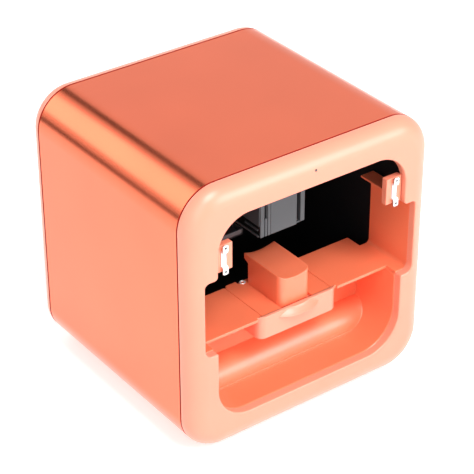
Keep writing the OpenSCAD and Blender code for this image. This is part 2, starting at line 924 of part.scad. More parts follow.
// A square motor with cut corners, its front face at z = 0 and a bore for its shaft
module motor(side, len, bore_r, bore_len) {
    corner = 3;
    difference() {
        linear_extrude(len) difference() {
            square(side, center = true);
            for (turn = [0 : 90 : 270]) rotate(turn) translate([side / 2, side / 2])
                rotate(45) square(corner * sqrt(2), center = true);
        }
        translate([0, 0, -1]) cylinder(r = bore_r, h = bore_len + 1);
    }
}

module cross_motor() {
    color(steel_black) placed() translate([-pulley_x, bridge_y + plate_t, belt_z])
        rotate([-90, 0, 0]) motor(motor_side, cross_motor_len, shaft_r + run_gap, shaft_seat + 1);
}

module pulley_profile(bore) {
    flange = 1;
    face = belt_w + 0.4;
    rotate_extrude() polygon([
        [bore, -flange],
        [pulley_r + belt_t, -flange],
        [pulley_r + belt_t, 0],
        [pulley_r - belt_t / 2 - nib, 0],
        [pulley_r - belt_t / 2 - nib, face],
        [pulley_r + belt_t, face],
        [pulley_r + belt_t, face + 0.4],
        [bore, face + 0.4]
    ]);
}

module drive_pulley() {
    color(bright_steel) placed() {
        translate([-pulley_x, belt_y0 - 0.2, belt_z]) rotate([-90, 0, 0]) pulley_profile(1);
        bar_y(-pulley_x, belt_z, shaft_r, belt_y0 - 2.5, bridge_y + plate_t + shaft_seat);
    }
}

module idler_pulley() {
    color(bright_steel) placed() translate([pulley_x, belt_y0 - 0.2, belt_z]) rotate([-90, 0, 0])
        pulley_profile(axle_r + run_gap);
}

module idler_pin() {
    color(bright_steel) placed() {
        bar_y(pulley_x, belt_z, axle_r, belt_y0 - 2, bridge_y + plate_t);
        bar_y(pulley_x, belt_z, 3, belt_y0 - 2.6, belt_y0 - 1.6);
    }
}

module belt_outline(r) {
    for (side = [-1, 1]) translate([side * pulley_x, belt_z]) circle(r = r);
    translate([-pulley_x, belt_z - r]) square([2 * pulley_x, 2 * r]);
}

module cross_belt() {
    color(rubber_black) placed() slab(belt_y0, belt_y0 + belt_w) difference() {
        belt_outline(pulley_r + belt_t / 2);
        belt_outline(pulley_r - belt_t / 2);
    }
}

// ---- carriage ----

module carriage_body() {
    shoe_low = cross_low - 7;
    shoe_high = cross_high + 7;
    color(plastic_grey) placed() difference() {
        union() {
            block([-car_x, car_front, car_low], [-car_x + cheek_left, car_back, car_top]);
            block([car_x - cheek_right, car_front, car_low], [car_x, car_back, car_top]);
            block([-car_x + 1, car_front + 4, car_low], [car_x - 1, car_back, car_low + floor_t]);
            block([-car_x + 1, car_back - 4, car_low], [car_x - 1, car_back, car_top]);
            block([-shoe_x, car_back - 1, shoe_low], [shoe_x, shoe_y, run_z + 4]);
            block([-shoe_x, car_back - 1, cross_high - 7], [shoe_x, shoe_y, shoe_high]);
            block([-car_x - 1.2, car_front + 2, car_low + 6], [-car_x + 1, car_back, car_low + 7.2]);
            block([-car_x - 0.8, car_front + 2, car_low], [-car_x + 1, car_back, car_low + 1.5]);
            block([cart_left - 1.6, car_front, car_low], [cart_left - nib, car_front + 3, car_low + 14]);
        }
        block([snout_x0 - 1, car_front, car_low - 1], [snout_x1 + 1, snout_y1 + 1, car_low + 5]);
        for (z = [cross_low, cross_high]) bar_x(cross_y, z, bush_r, -big, big);
        bar_x(latch_y, latch_z, latch_pin_r, -big, big);
    }
}

module cross_bushes() {
    color(brass_tone) placed() for (z = [cross_low, cross_high], x = [-shoe_x, shoe_x - bush_len])
        translate([x, cross_y, z]) rotate([0, 90, 0]) bush(bush_len);
}

module belt_clamp() {
    clamp_x = 4;
    grip = belt_t / 2 + fit_gap;
    color(plastic_grey) placed() difference() {
        block([-clamp_x, shoe_y, run_z - 4], [clamp_x, belt_y0 + belt_w - 0.5, run_z + 4]);
        block([-clamp_x - 1, belt_y0 - fit_gap, run_z - grip], [clamp_x + 1, big, run_z + grip]);
    }
}

module ink_cartridge() {
    color(plastic_grey) placed() difference() {
        union() {
            block([cart_left, car_front, car_low + floor_t + nib], [cart_right, cart_y1, cart_top]);
            block([cart_left, car_front, car_low], [cart_right, car_front + 3.8, car_low + floor_t + 1]);
            block([snout_x0, snout_y0, nozzle_low + nozzle_t], [snout_x1, snout_y1, car_low + 3]);
        }
        block([cart_left - 1, car_front - 1, car_low - 1], [cart_left + 0.8, car_front + 0.6, cart_top + 1]);
    }
}

module nozzle_plate() {
    color(brass_tone) placed() block(
        [snout_x0 + 1, snout_y0 + 1, nozzle_low],
        [snout_x1 - 1, snout_y1 - 1, nozzle_low + nozzle_t]
    );
}

module cartridge_latch() {
    half = cart_w / 2 - 2;
    color(dark_grey) placed() difference() {
        union() {
            block(
                [nozzle_x - half, latch_y - latch_arm, cart_top + nib],
                [nozzle_x + half, latch_y, latch_z + 1]
            );
            bar_x(latch_y, latch_z, 2.6, nozzle_x - half, nozzle_x + half);
        }
        bar_x(latch_y, latch_z, latch_pin_r + run_gap, -big, big);
    }
}

module latch_pin() {
    color(bright_steel) placed() bar_x(latch_y, latch_z, latch_pin_r, -car_x, car_x);
}

// ---- camera ----

module camera_board() {
    color(board_green) placed()
        block(
            [-camera_half, camera_y - camera_half, plate_top - board_t],
            [camera_half, camera_y + camera_half, plate_top]
        );
}

module camera_lens() {
    color(steel_black) placed() translate([0, camera_y, plate_top - board_t]) {
        translate([0, 0, -2]) cylinder(r = camera_r, h = 2);
        translate([0, 0, -3]) cylinder(r = camera_r - 1.5, h = 3);
    }
}

// ---- lead screw drive ----

module long_motor() {
    color(steel_black) placed() translate([rod_x, long_motor_y, screw_z]) rotate([-90, 0, 0])
        motor(long_motor_side, long_motor_len, screw_r + run_gap, long_motor_len - 2);
}

module lead_screw() {
    color(bright_steel) placed() bar_y(rod_x, screw_z, screw_r, screw_y0, back_y - 3);
}

module lead_nut() {
    color(brass_tone) placed() difference() {
        union() {
            bar_y(rod_x, screw_z, bush_r, block_y0, block_y1);
            bar_y(rod_x, screw_z, bush_r + 1.2, block_y0 - 2, block_y0);
        }
        bar_y(rod_x, screw_z, screw_r + run_gap, block_y0 - 3, block_y1 + 1);
    }
}

// ---- service station ----

module station_tray() {
    rim = 1.5;
    color(plastic_grey) placed() {
        difference() {
            block([-plate_x, station_front, station_low], [station_right, station_back, station_top]);
            block(
                [-plate_x + rim, station_front + rim, station_low + rim],
                [station_right - rim, station_back - rim, station_top + 1]
            );
        }
        block(
            [cap_x - cap_half_x, cap_y - cap_half_y, station_low + 1],
            [cap_x + cap_half_x, cap_y + cap_half_y, station_top]
        );
        block(
            [wiper_x - 2, cap_y - cap_half_y, station_low + 1],
            [wiper_x + 2, cap_y + cap_half_y, station_top]
        );
        block(
            [-plate_x, station_front, station_low - station_leg],
            [-plate_x + 2, station_back, station_low + 1]
        );
    }
}

module nozzle_cap() {
    color(rubber_black) placed() difference() {
        block(
            [cap_x - cap_half_x - cap_rim, cap_y - cap_half_y - cap_rim, station_top],
            [cap_x + cap_half_x + cap_rim, cap_y + cap_half_y + cap_rim, cap_top]
        );
        block(
            [cap_x - cap_half_x, cap_y - cap_half_y, station_top + 2],
            [cap_x + cap_half_x, cap_y + cap_half_y, cap_top + 1]
        );
    }
}

module wiper_blade() {
    color(rubber_black) placed()
        block(
            [wiper_x - 0.6, cap_y - cap_half_y, station_top],
            [wiper_x + 0.6, cap_y + cap_half_y, cap_top]
        );
}

module ink_pad() {
    color("white") placed() block(
        [-plate_x + 4, station_front + 4, station_low + 1.5],
        [cap_x - 12, station_back - 4, station_top - 1]
    );
}

// ---- electronics ----

module main_board() {
    color(board_green) placed() {
        difference() {
            block([-board_x, board_y, board_low], [board_x, board_y + board_t, board_high]);
            for (x = [-post_x, post_x], z = [post_low, post_high])
                bar_y(x, z, 1.6, board_y - 1, board_y + board_t + 1);
        }
        translate([chip_x, board_y + board_t, chip_z]) cube([chip_side, chip_t, chip_side]);
        translate([plug_x, board_y + board_t, plug_z]) cube([plug_w, plug_t, plug_h]);
        bar_y(button_x, button_z, 2, board_y + board_t, button_flange_y - button_travel - nib);
    }
}

module heat_sink() {
    color(bright_steel) placed() translate([chip_x, board_y + board_t + chip_t, chip_z]) {
        cube([chip_side, sink_t, chip_side]);
        for (i = [0 : fin_count - 1])
            translate([i * fin_pitch, sink_t, 0]) cube([fin_t, fin_h, chip_side]);
    }
}

module dc_inlet() {
    y0 = board_y + board_t;
    color(steel_black) placed() difference() {
        union() {
            block([jack_x - 4.4, y0, jack_z - 5], [jack_x + 4.4, cover_in - nib, jack_z + 4.4]);
            bar_y(jack_x, jack_z, jack_r, cover_in - 1, body_d - 0.4);
        }
        bar_y(jack_x, jack_z, jack_bore_r, body_d - 0.4 - jack_bore_len, body_d + 1);
    }
}

module data_port() {
    y0 = board_y + board_t;
    color(bright_steel) placed() difference() {
        block([port_x - 6, y0, jack_z - 5.2], [port_x + 6, body_d - 0.6, jack_z + 5.2]);
        block([port_x - 5.3, body_d - 9, jack_z - 4.5], [port_x + 5.3, body_d, jack_z + 4.5]);
        block([port_x - 5.3, y0 + 1, jack_z - 3], [port_x + 5.3, body_d, jack_z + 3]);
    }
}

module power_button() {
    rear_face = body_d - 0.3;
    color(plastic_grey) placed() {
        bar_y(button_x, button_z, button_r, button_flange_y, rear_face);
        bar_y(button_x, button_z, button_r + 1.6, button_flange_y, cover_in - nib);
    }
}

module button_spring() {
    color(bright_steel) placed() difference() {
        bar_y(button_x, button_z, 4, board_y + board_t, button_flange_y);
        bar_y(button_x, button_z, 3, board_y, cover_in);
    }
}

outer_sleeve();
front_bezel();
rear_cover();
rubber_feet();
foot_screws();
base_plate();
side_plate_left();
side_plate_right();
back_plate();
top_bridge();
bay_liner();
centre_plate();
palm_rest();
lift_housing();
finger_rest();
lift_springs();
lift_pins();
finger_switch();
catch_block_left();
catch_block_right();
catch_plate_left();
catch_plate_right();
catch_magnets();
catch_screws();
status_lens();
long_rods();
rod_brackets();
cross_stops();
gantry_block_left();
gantry_block_right();
long_bushes();
cross_rods();
gantry_bridge();
cross_motor();
drive_pulley();
idler_pulley();
cross_belt();
idler_pin();
belt_clamp();
carriage_body();
cross_bushes();
ink_cartridge();
nozzle_plate();
cartridge_latch();
latch_pin();
camera_board();
camera_lens();
long_motor();
lead_screw();
lead_nut();
station_tray();
nozzle_cap();
wiper_blade();
ink_pad();
main_board();
heat_sink();
power_button();
button_spring();
dc_inlet();
data_port();
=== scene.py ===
import math

import bpy
import bmesh
import numpy as np
from bpy.props import FloatProperty, FloatVectorProperty, PointerProperty
from mathutils import Matrix, Vector


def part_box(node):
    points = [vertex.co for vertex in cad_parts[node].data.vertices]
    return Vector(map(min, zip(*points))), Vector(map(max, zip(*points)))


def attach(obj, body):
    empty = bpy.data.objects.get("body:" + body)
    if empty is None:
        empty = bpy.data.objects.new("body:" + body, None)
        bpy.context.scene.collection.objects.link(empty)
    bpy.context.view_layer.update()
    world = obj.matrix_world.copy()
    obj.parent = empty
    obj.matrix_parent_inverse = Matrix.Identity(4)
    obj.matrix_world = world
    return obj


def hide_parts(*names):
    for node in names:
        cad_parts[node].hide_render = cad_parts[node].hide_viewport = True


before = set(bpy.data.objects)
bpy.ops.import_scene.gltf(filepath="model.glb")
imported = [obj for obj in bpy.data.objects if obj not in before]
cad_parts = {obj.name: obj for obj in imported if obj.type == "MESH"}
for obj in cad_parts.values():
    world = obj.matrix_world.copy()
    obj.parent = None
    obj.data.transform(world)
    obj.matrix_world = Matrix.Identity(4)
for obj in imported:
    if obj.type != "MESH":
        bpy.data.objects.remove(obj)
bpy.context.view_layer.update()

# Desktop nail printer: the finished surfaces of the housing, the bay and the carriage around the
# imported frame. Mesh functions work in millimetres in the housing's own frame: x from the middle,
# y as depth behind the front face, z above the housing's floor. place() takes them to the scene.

bl_info = {
    "name": "Nail printer",
    "version": (1, 0, 0),
    "blender": (4, 5, 0),
    "location": "View3D > Sidebar > Nail printer",
    "description": "Builds the surfaces and finishes of a desktop nail printer",
    "category": "Add Mesh",
}

MM = 0.001
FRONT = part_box("front_bezel")[0].y
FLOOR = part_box("outer_sleeve")[0].z


def seat(node):
    """A node's lowest and highest corner in the housing's frame, in millimetres."""
    low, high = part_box(node)
    shift = np.array([0.0, FRONT, FLOOR])
    return (np.array(low) - shift) / MM, (np.array(high) - shift) / MM


SLEEVE = seat("outer_sleeve")
BEZEL = seat("front_bezel")
COVER = seat("rear_cover")
LINER = seat("bay_liner")
PLATE = seat("centre_plate")
TRAY = seat("palm_rest")
LIFT = seat("lift_housing")
REST = seat("finger_rest")
BODY_W = SLEEVE[1][0] - SLEEVE[0][0]
BODY_H = SLEEVE[1][2] - SLEEVE[0][2]
BODY_D = COVER[1][1]
SHELF_TOP = PLATE[1][2]
SHELF_LOW = LINER[0][2]
FACE_WALL = LINER[0][1]


# ---- sizes and colours ----

def length(name, description, default_mm):
    """A length property with its default in millimetres."""
    return FloatProperty(name=name, description=description, default=default_mm * MM, unit="LENGTH")


def colour(name, description, rgb):
    """A colour property with its default in linear red, green and blue."""
    return FloatVectorProperty(
        name=name, description=description, default=rgb, size=3, min=0.0, max=1.0, subtype="COLOR"
    )


class PrinterSizes(bpy.types.PropertyGroup):
    """The sizes that a user would change"""
    corner: length("Corner radius", "Radius of the housing's four long corners", 28.5)
    bezel_edge: length("Bezel edge", "How far the bezel's rounding reaches in over the face", 14.5)
    bezel_depth: length("Bezel depth", "Depth of the bezel in front of its seam", 12.3)
    cover_edge: length("Cover edge", "How far the rear cover's rounding reaches in", 11.5)
    cover_depth: length("Cover depth", "Depth of the rear cover behind its seam", 12.0)
    opening_w: length("Opening width", "Width of the narrow part of the opening", 155.0)
    opening_low: length("Opening foot", "Height of the opening's lower edge", 22.0)
    opening_top: length("Opening top", "Height of the opening's upper edge", 177.5)
    opening_low_r: length("Opening foot radius", "Radius of the opening's lower corners", 27.0)
    opening_top_r: length("Opening top radius", "Radius of the opening's upper corners", 25.0)
    niche_w: length("Niche width", "Width across the two niches", 175.0)
    niche_low: length("Niche foot", "Height of the niches' floor", 78.9)
    niche_top: length("Niche top", "Height of the niches' ceiling", 135.7)
    opening_edge: length("Opening edge", "Rounding round the opening's front edge", 1.0)
    cove: length("Cove radius", "Cove between the niche wall and the shelf", 3.0)
    roll: length("Roll radius", "Radius of the roll in the palm rest", 16.0)
    roll_step: length("Roll step", "Height of the step at the roll's foot", 2.0)
    saddle: length("Saddle depth", "How deep the finger rest is hollowed", 2.6)
    soft_edge: length("Soft edge", "Rounding along the edges of the mouldings in the bay", 0.35)


class PrinterColours(bpy.types.PropertyGroup):
    """The colours that a user would change"""
    coral: colour("Coral", "Metallic paint of the sleeve", (0.84, 0.175, 0.085))
    peach: colour("Peach", "Mouldings of the bezel and the rear cover", (0.93, 0.32, 0.21))
    salmon: colour("Salmon", "Mouldings inside the bay", (0.98, 0.215, 0.10))
    # Painted shade: the seam colour stands in for the dark inside of the seam grooves
    seam: colour("Seam red", "Painted shade on the faces in the two seams", (0.40, 0.008, 0.004))
    grey: colour("Carriage grey", "Carriage and cartridge mouldings", (0.066, 0.069, 0.076))
    dark: colour("Dark grey", "Gantry blocks and latch", (0.03, 0.03, 0.033))
    black: colour("Chassis black", "Powder coat on the steel chassis", (0.006, 0.006, 0.007))
    steel: colour("Steel", "Rods, pins and shafts", (0.72, 0.72, 0.74))
    brass: colour("Brass", "Bushes and the lead nut", (0.60, 0.42, 0.16))
    rubber: colour("Rubber", "Feet, belt, cap and wiper", (0.015, 0.015, 0.016))
    board: colour("Board", "Circuit boards", (0.02, 0.10, 0.05))
    felt: colour("Felt", "Ink pad", (0.80, 0.79, 0.76))


def sizes():
    """The sizes in millimetres, by name."""
    held = bpy.context.scene.printer_sizes
    return {name: getattr(held, name) / MM for name in PrinterSizes.__annotations__}


def tones():
    """The colours, by name."""
    held = bpy.context.scene.printer_colours
    return {name: tuple(getattr(held, name)) for name in PrinterColours.__annotations__}


# ---- meshes ----

def place(points):
    """From millimetres in the housing's frame to metres in the scene."""
    return np.asarray(points, float) * MM + np.array([0.0, FRONT, FLOOR])


def grid(points, wrap_u=False, wrap_v=False, caps=False):
    """Vertices and quads of a grid of points [u, v]: each cell joins four neighbours, round again
    where wrapped, and caps close the first and last column of a wrapped outline."""
    rows, columns = points.shape[:2]
    u = np.arange(rows if wrap_u else rows - 1)
    v = np.arange(columns if wrap_v else columns - 1)
    next_u = (u + 1) % rows
    next_v = (v + 1) % columns
    corners = [
        u[:, None] * columns + v, next_u[:, None] * columns + v,
        next_u[:, None] * columns + next_v, u[:, None] * columns + next_v,
    ]
    faces = np.stack(corners, -1).reshape(-1, 4).tolist()
    if caps:
        first = np.arange(rows) * columns
        faces += [first[::-1].tolist(), (first + columns - 1).tolist()]
    return points.reshape(-1, 3), faces


def joined(parts):
    """Several (vertices, faces) as one."""
    vertices = np.concatenate([part[0] for part in parts])
    starts = np.cumsum([0] + [len(part[0]) for part in parts[:-1]])
    faces = [[index + start for index in face] for part, start in zip(parts, starts) for face in part[1]]
    return vertices, faces


def moved(shape, offset):
    """The same shape, moved by an offset."""
    return shape[0] + np.asarray(offset, float), shape[1]


def mirrored(shape):
    """The same shape on the other side of the middle."""
    vertices, faces = shape
    return vertices * np.array([-1.0, 1.0, 1.0]), [face[::-1] for face in faces]


def both(shape):
    """A shape and its mirror image as one."""
    return joined([shape, mirrored(shape)])


def cleaned(shape, name):
    """A mesh from (vertices, faces): doubles merged, needles dissolved, faces turned outward."""
    vertices, faces = shape
    mesh = bpy.data.meshes.new(name)
    mesh.from_pydata(place(vertices), [], faces)
    shell = bmesh.new()
    shell.from_mesh(mesh)
    bmesh.ops.remove_doubles(shell, verts=shell.verts, dist=0.002 * MM)
    bmesh.ops.dissolve_degenerate(shell, edges=shell.edges, dist=0.001 * MM)
    bmesh.ops.recalc_face_normals(shell, faces=shell.faces)
    shell.to_mesh(mesh)
    shell.free()
    return mesh


def piece(name, shape, material, body, nodes, sharp=38, holes=None):
    """A new object from (vertices, faces) in the housing's frame, less its holes. Its hard edges
    are marked, and it rides on body in place of the nodes."""
    made = bpy.data.objects.new(name, cleaned(shape, name))
    bpy.context.scene.collection.objects.link(made)
    if holes:
        drill(made, holes)
    mesh = made.data
    mesh.polygons.foreach_set("use_smooth", np.ones(len(mesh.polygons), bool))
    mesh.set_sharp_from_angle(angle=math.radians(sharp))
    mesh.materials.append(material)
    weighted = made.modifiers.new("Even faces", "WEIGHTED_NORMAL")
    weighted.keep_sharp = True
    weighted.weight = 100
    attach(made, body)
    if nodes:
        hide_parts(*nodes)
    return made


def drill(target, shape):
    """Takes a closed shape out of a piece, exactly."""
    cutter = bpy.data.objects.new("cutter", cleaned(shape, "cutter"))
    bpy.context.scene.collection.objects.link(cutter)
    cut = target.modifiers.new("Holes", "BOOLEAN")
    cut.operation = "DIFFERENCE"
    cut.solver = "EXACT"
    cut.object = cutter
    with bpy.context.temp_override(object=target, active_object=target):
        bpy.ops.object.modifier_apply(modifier="Holes")
    bpy.data.objects.remove(cutter)


def second_finish(made, material, chosen):
    """Gives a second material to the faces whose centres, in the housing's frame, are chosen."""
    mesh = made.data
    mesh.materials.append(material)
    centres = np.empty(len(mesh.polygons) * 3)
    mesh.polygons.foreach_get("center", centres)
    x, y, z = ((centres.reshape(-1, 3) - np.array([0.0, FRONT, FLOOR])) / MM).T
    mesh.polygons.foreach_set("material_index", chosen(x, y, z).astype(np.int32))


def fillet_path(corners, steps=8, least=0.0):
    """A closed outline from (a, b, radius) corners, anticlockwise: each corner becomes an arc
    that touches both edges, centred on the bisector. An outward corner's radius is at least the
    given one. Returns points and outward normals."""
    spots = np.array([corner[:2] for corner in corners], float)
    points = []
    normals = []
    for i, (a, b, radius) in enumerate(corners):
        here = np.array([a, b], float)
        back = spots[i - 1] - here
        ahead = spots[(i + 1) % len(corners)] - here
        back /= np.linalg.norm(back)
        ahead /= np.linalg.norm(ahead)
        turn = np.sign(back[1] * ahead[0] - back[0] * ahead[1])
        if turn > 0:
            radius = max(radius, least)
        half = math.acos(np.clip(back @ ahead, -1, 1)) / 2
        middle = (back + ahead) / np.linalg.norm(back + ahead)
        centre = here + middle * radius / math.sin(half)
        sweep = (math.pi / 2 - half) * np.linspace(-1, 1, steps + 1) * turn
        facing = math.atan2(-middle[1], -middle[0])
        rays = np.stack([np.cos(facing + sweep), np.sin(facing + sweep)], -1)
        points.append(centre + radius * rays)
        normals.append(rays * turn)
    return np.concatenate(points), np.concatenate(normals)


def dense(outline, spacing):
    """An outline with points added along its straights, so that none lie further apart than the
    spacing. A straight keeps the normal it starts with."""
    points, normals = outline
    ahead = np.roll(points, -1, 0)
    count = np.maximum(1, np.ceil(np.linalg.norm(ahead - points, axis=1) / spacing).astype(int))
    index = np.repeat(np.arange(len(points)), count)
    along = np.concatenate([np.arange(extra) / extra for extra in count])[:, None]
    return points[index] + (ahead - points)[index] * along, normals[index]


def box_corners(low_a, low_b, high_a, high_b, r_low, r_high=None):
    """The four corners of an upright rectangle, with a radius at the foot and at the top."""
    r_high = r_low if r_high is None else r_high
    return [
        (low_a, low_b, r_low), (high_a, low_b, r_low), (high_a, high_b, r_high), (low_a, high_b, r_high),
    ]


def both_ways(right):
    """A closed outline from its right half: the left half mirrors it, in the opposite order."""
    return right + [(-a, b, r) for a, b, r in reversed(right)]


def extruded(outline, section, axis):
    """An outline (a, b) carried along a section of (inset, position) steps: every point moves in
    along its normal by the inset. axis says which coordinate the position fills."""
    points, normals = outline
    inset, position = np.array(section, float).T
    flat = points[:, None, :] - normals[:, None, :] * inset[None, :, None]
    run = np.broadcast_to(position, flat.shape[:2])
    order = {
        "x": (run, flat[..., 0], flat[..., 1]),
        "y": (flat[..., 0], run, flat[..., 1]),
        "z": (flat[..., 0], flat[..., 1], run),
    }[axis]
    return np.stack(order, -1)


def soft_ends(start, end, radius, steps=3):
    """Section steps of a bar whose two ends are rounded by quarter circles."""
    angle = np.linspace(0, math.pi / 2, steps + 1)
    first = [(radius * (1 - math.sin(a)), start + radius * (1 - math.cos(a))) for a in angle]
    last = [(radius * (1 - math.cos(a)), end - radius * (1 - math.sin(a))) for a in angle]
    return first + last


def bar(corners, start, end, axis, edge, steps=6):
    """A closed bar from outline corners, with softly rounded ends and flat caps. No outward
    corner is tighter than the ends' rounding, so that the caps can't fold over."""
    outline = fillet_path(corners, steps, least=edge * 1.05)
    return grid(extruded(outline, soft_ends(start, end, edge), axis), wrap_u=True, caps=True)


def prism(corners, start, end, axis, steps=6):
    """A closed bar with sharp ends, to cut with."""
    return grid(extruded(fillet_path(corners, steps), [(0, start), (0, end)], axis), wrap_u=True, caps=True)


def soft_box(low, high, radius=0.4, steps=3):
    """A box whose edges and corners are rounded: a sphere of the radius, cut into its eight
    octants, each moved out to a corner of the smaller box that it rolls round."""
    low = np.asarray(low, float)
    high = np.asarray(high, float)
    radius = min(radius, (high - low).min() / 2.001)
    centre = (low + high) / 2
    core = (high - low) / 2 - radius
    quarter = np.linspace(0, math.pi / 2, steps + 1)
    turn = np.concatenate([quarter + k * math.pi / 2 for k in range(4)])
    side_x = np.repeat([1, -1, -1, 1], steps + 1)
    side_y = np.repeat([1, 1, -1, -1], steps + 1)
    rise = np.concatenate([quarter - math.pi / 2, quarter])
    side_z = np.repeat([-1, 1], steps + 1)
    ball = np.stack([
        np.cos(turn)[:, None] * np.cos(rise), np.sin(turn)[:, None] * np.cos(rise),
        np.ones_like(turn)[:, None] * np.sin(rise),
    ], -1)
    sides = np.stack(np.broadcast_arrays(side_x[:, None], side_y[:, None], side_z[None, :]), -1)
    return grid(centre + sides * core + radius * ball, wrap_u=True, caps=True)


def turned(profile, centre, axis, count=48):
    """A profile of (radius, position) steps turned round an axis through centre."""
    radius, position = np.array(profile, float).T
    angle = np.linspace(0, 2 * math.pi, count, endpoint=False)
    a = np.cos(angle)[:, None] * radius
    b = np.sin(angle)[:, None] * radius
    run = np.broadcast_to(position, a.shape)
    order = {"x": (run, a, b), "y": (a, run, b), "z": (a, b, run)}[axis]
    return moved(grid(np.stack(order, -1), wrap_u=True, caps=True), centre)


# ---- materials ----

# Nearly all values of a noise lie in this range
NOISE_RANGE = (0.3, 0.7)
# How far the second colour of a finish goes toward black, and how strongly its grain shows
DRIFT_SHADE = 0.06
GRAIN_STRENGTH = 0.25


def new_group(name, inputs, outputs):
    """A shader node group with named sockets, with its input and output nodes."""
    group = bpy.data.node_groups.new(name, "ShaderNodeTree")
    for label, kind, default in inputs:
        socket = group.interface.new_socket(name=label, in_out="INPUT", socket_type=kind)
        socket.default_value = default
    for label, kind in outputs:
        group.interface.new_socket(name=label, in_out="OUTPUT", socket_type=kind)
    return group, group.nodes.new("NodeGroupInput"), group.nodes.new("NodeGroupOutput")


def feed(tree, socket, given):
    """Links a socket to another one, or sets its plain value."""
    if isinstance(given, bpy.types.NodeSocket):
        tree.links.new(given, socket)
    else:
        socket.default_value = given


def math_operation(tree, operation, *values):
    """The result of a maths node on sockets or plain values."""
    made = tree.nodes.new("ShaderNodeMath")
    made.operation = operation
    for socket, given in zip(made.inputs, values):
        feed(tree, socket, given)
    return made.outputs["Value"]


def noise(group, places, scale, detail=2.0):
    """The value of a noise at the given places."""
    made = group.nodes.new("ShaderNodeTexNoise")
    made.inputs["Detail"].default_value = detail
    feed(group, made.inputs["Vector"], places)
    feed(group, made.inputs["Scale"], scale)
    return made.outputs["Fac"]


def spread(group, value, low, high):
    """A noise value about its middle, carried to the range low to high."""
    made = group.nodes.new("ShaderNodeMapRange")
    given = (value, *NOISE_RANGE, low, high)
    for name, limit in zip(("Value", "From Min", "From Max", "To Min", "To Max"), given):
        feed(group, made.inputs[name], limit)
    return made.outputs["Result"]


def finish_group():
    """Fine grain for every finish: a slow drift between two colours, a roughness that varies
    with it, and the height of the surface's grain."""
    if "Fine finish" in bpy.data.node_groups:
        return bpy.data.node_groups["Fine finish"]
    group, given, result = new_group(
        "Fine finish",
        [
            ("Colour", "NodeSocketColor", (0.8, 0.8, 0.8, 1)),
            ("Second Colour", "NodeSocketColor", (0.7, 0.7, 0.7, 1)),
            ("Drift Scale", "NodeSocketFloat", 14.0),
            ("Grain Scale", "NodeSocketFloat", 2500.0),
            ("Smoothest", "NodeSocketFloat", 0.4),
            ("Roughest", "NodeSocketFloat", 0.5),
            ("Stretch", "NodeSocketVector", (1, 1, 1)),
        ],
        [("Colour", "NodeSocketColor"), ("Roughness", "NodeSocketFloat"), ("Height", "NodeSocketFloat")],
    )
    where = group.nodes.new("ShaderNodeTexCoord")
    stretched = group.nodes.new("ShaderNodeVectorMath")
    stretched.operation = "MULTIPLY"
    group.links.new(where.outputs["Object"], stretched.inputs[0])
    group.links.new(given.outputs["Stretch"], stretched.inputs[1])
    drift = noise(group, where.outputs["Object"], given.outputs["Drift Scale"])
    grain = noise(group, stretched.outputs["Vector"], given.outputs["Grain Scale"], 3.0)
    mix = group.nodes.new("ShaderNodeMix")
    mix.data_type = "RGBA"
    group.links.new(spread(group, drift, 0.0, 1.0), mix.inputs["Factor"])
    group.links.new(given.outputs["Colour"], mix.inputs["A"])
    group.links.new(given.outputs["Second Colour"], mix.inputs["B"])
    group.links.new(mix.outputs["Result"], result.inputs["Colour"])
    half_drift = math_operation(group, "MULTIPLY", drift, 0.5)
    both_noises = math_operation(group, "MULTIPLY_ADD", grain, 0.5, half_drift)
    rough = spread(group, both_noises, given.outputs["Smoothest"], given.outputs["Roughest"])
    group.links.new(rough, result.inputs["Roughness"])
    group.links.new(grain, result.inputs["Height"])
    return group


def mixed(rgb, other, share):
    """A colour carried toward another one by a share."""
    return tuple(a + (b - a) * share for a, b in zip(rgb, other))


def finish(
    name, rgb, second=None, smooth=0.4, rough=0.5, metallic=0.0, grain=2500.0, height=0.02,
    drift=14.0, stretch=(1, 1, 1), coat=0.0, coat_rough=0.1, specular=0.5, sheen=0.0
):
    """A material on the shared finish group: its own colours, roughness range and grain."""
    if name in bpy.data.materials:
        return bpy.data.materials[name]
    second = mixed(rgb, (0, 0, 0), DRIFT_SHADE) if second is None else second
    material = bpy.data.materials.new(name)
    material.use_nodes = True
    tree = material.node_tree
    shader = tree.nodes["Principled BSDF"]
    shader.inputs["Metallic"].default_value = metallic
    shader.inputs["Coat Weight"].default_value = coat
    shader.inputs["Coat Roughness"].default_value = coat_rough
    shader.inputs["Specular IOR Level"].default_value = specular
    shader.inputs["Sheen Weight"].default_value = sheen
    surface = tree.nodes.new("ShaderNodeGroup")
    surface.node_tree = finish_group()
    surface.inputs["Colour"].default_value = (*rgb, 1)
    surface.inputs["Second Colour"].default_value = (*second, 1)
    surface.inputs["Drift Scale"].default_value = drift
    surface.inputs["Grain Scale"].default_value = grain
    surface.inputs["Smoothest"].default_value = smooth
    surface.inputs["Roughest"].default_value = rough
    surface.inputs["Stretch"].default_value = stretch
    relief = tree.nodes.new("ShaderNodeBump")
    relief.inputs["Strength"].default_value = GRAIN_STRENGTH
    relief.inputs["Distance"].default_value = height * MM
    tree.links.new(surface.outputs["Colour"], shader.inputs["Base Color"])
    tree.links.new(surface.outputs["Roughness"], shader.inputs["Roughness"])
    tree.links.new(surface.outputs["Height"], relief.inputs["Height"])
    tree.links.new(relief.outputs["Normal"], shader.inputs["Normal"])
    return material


def coral_paint():
    rgb = tones()["coral"]
    return finish("Coral metallic", rgb, smooth=0.20, rough=0.24, metallic=0.9, grain=6000, height=0.003)


def moulding(name, rgb, coat=0.5):
    return finish(name, rgb, smooth=0.36, rough=0.42, grain=3500, height=0.01, coat=coat, coat_rough=0.3)


def peach_moulding():
    return moulding("Peach moulding", tones()["peach"], 0.3)


def salmon_moulding():
    return moulding("Salmon moulding", tones()["salmon"])


def rest_moulding():
    return moulding("Rest moulding", mixed(tones()["salmon"], tones()["peach"], 0.05))


def catch_moulding():
    return moulding("Catch moulding", mixed(tones()["salmon"], tones()["peach"], 0.7))
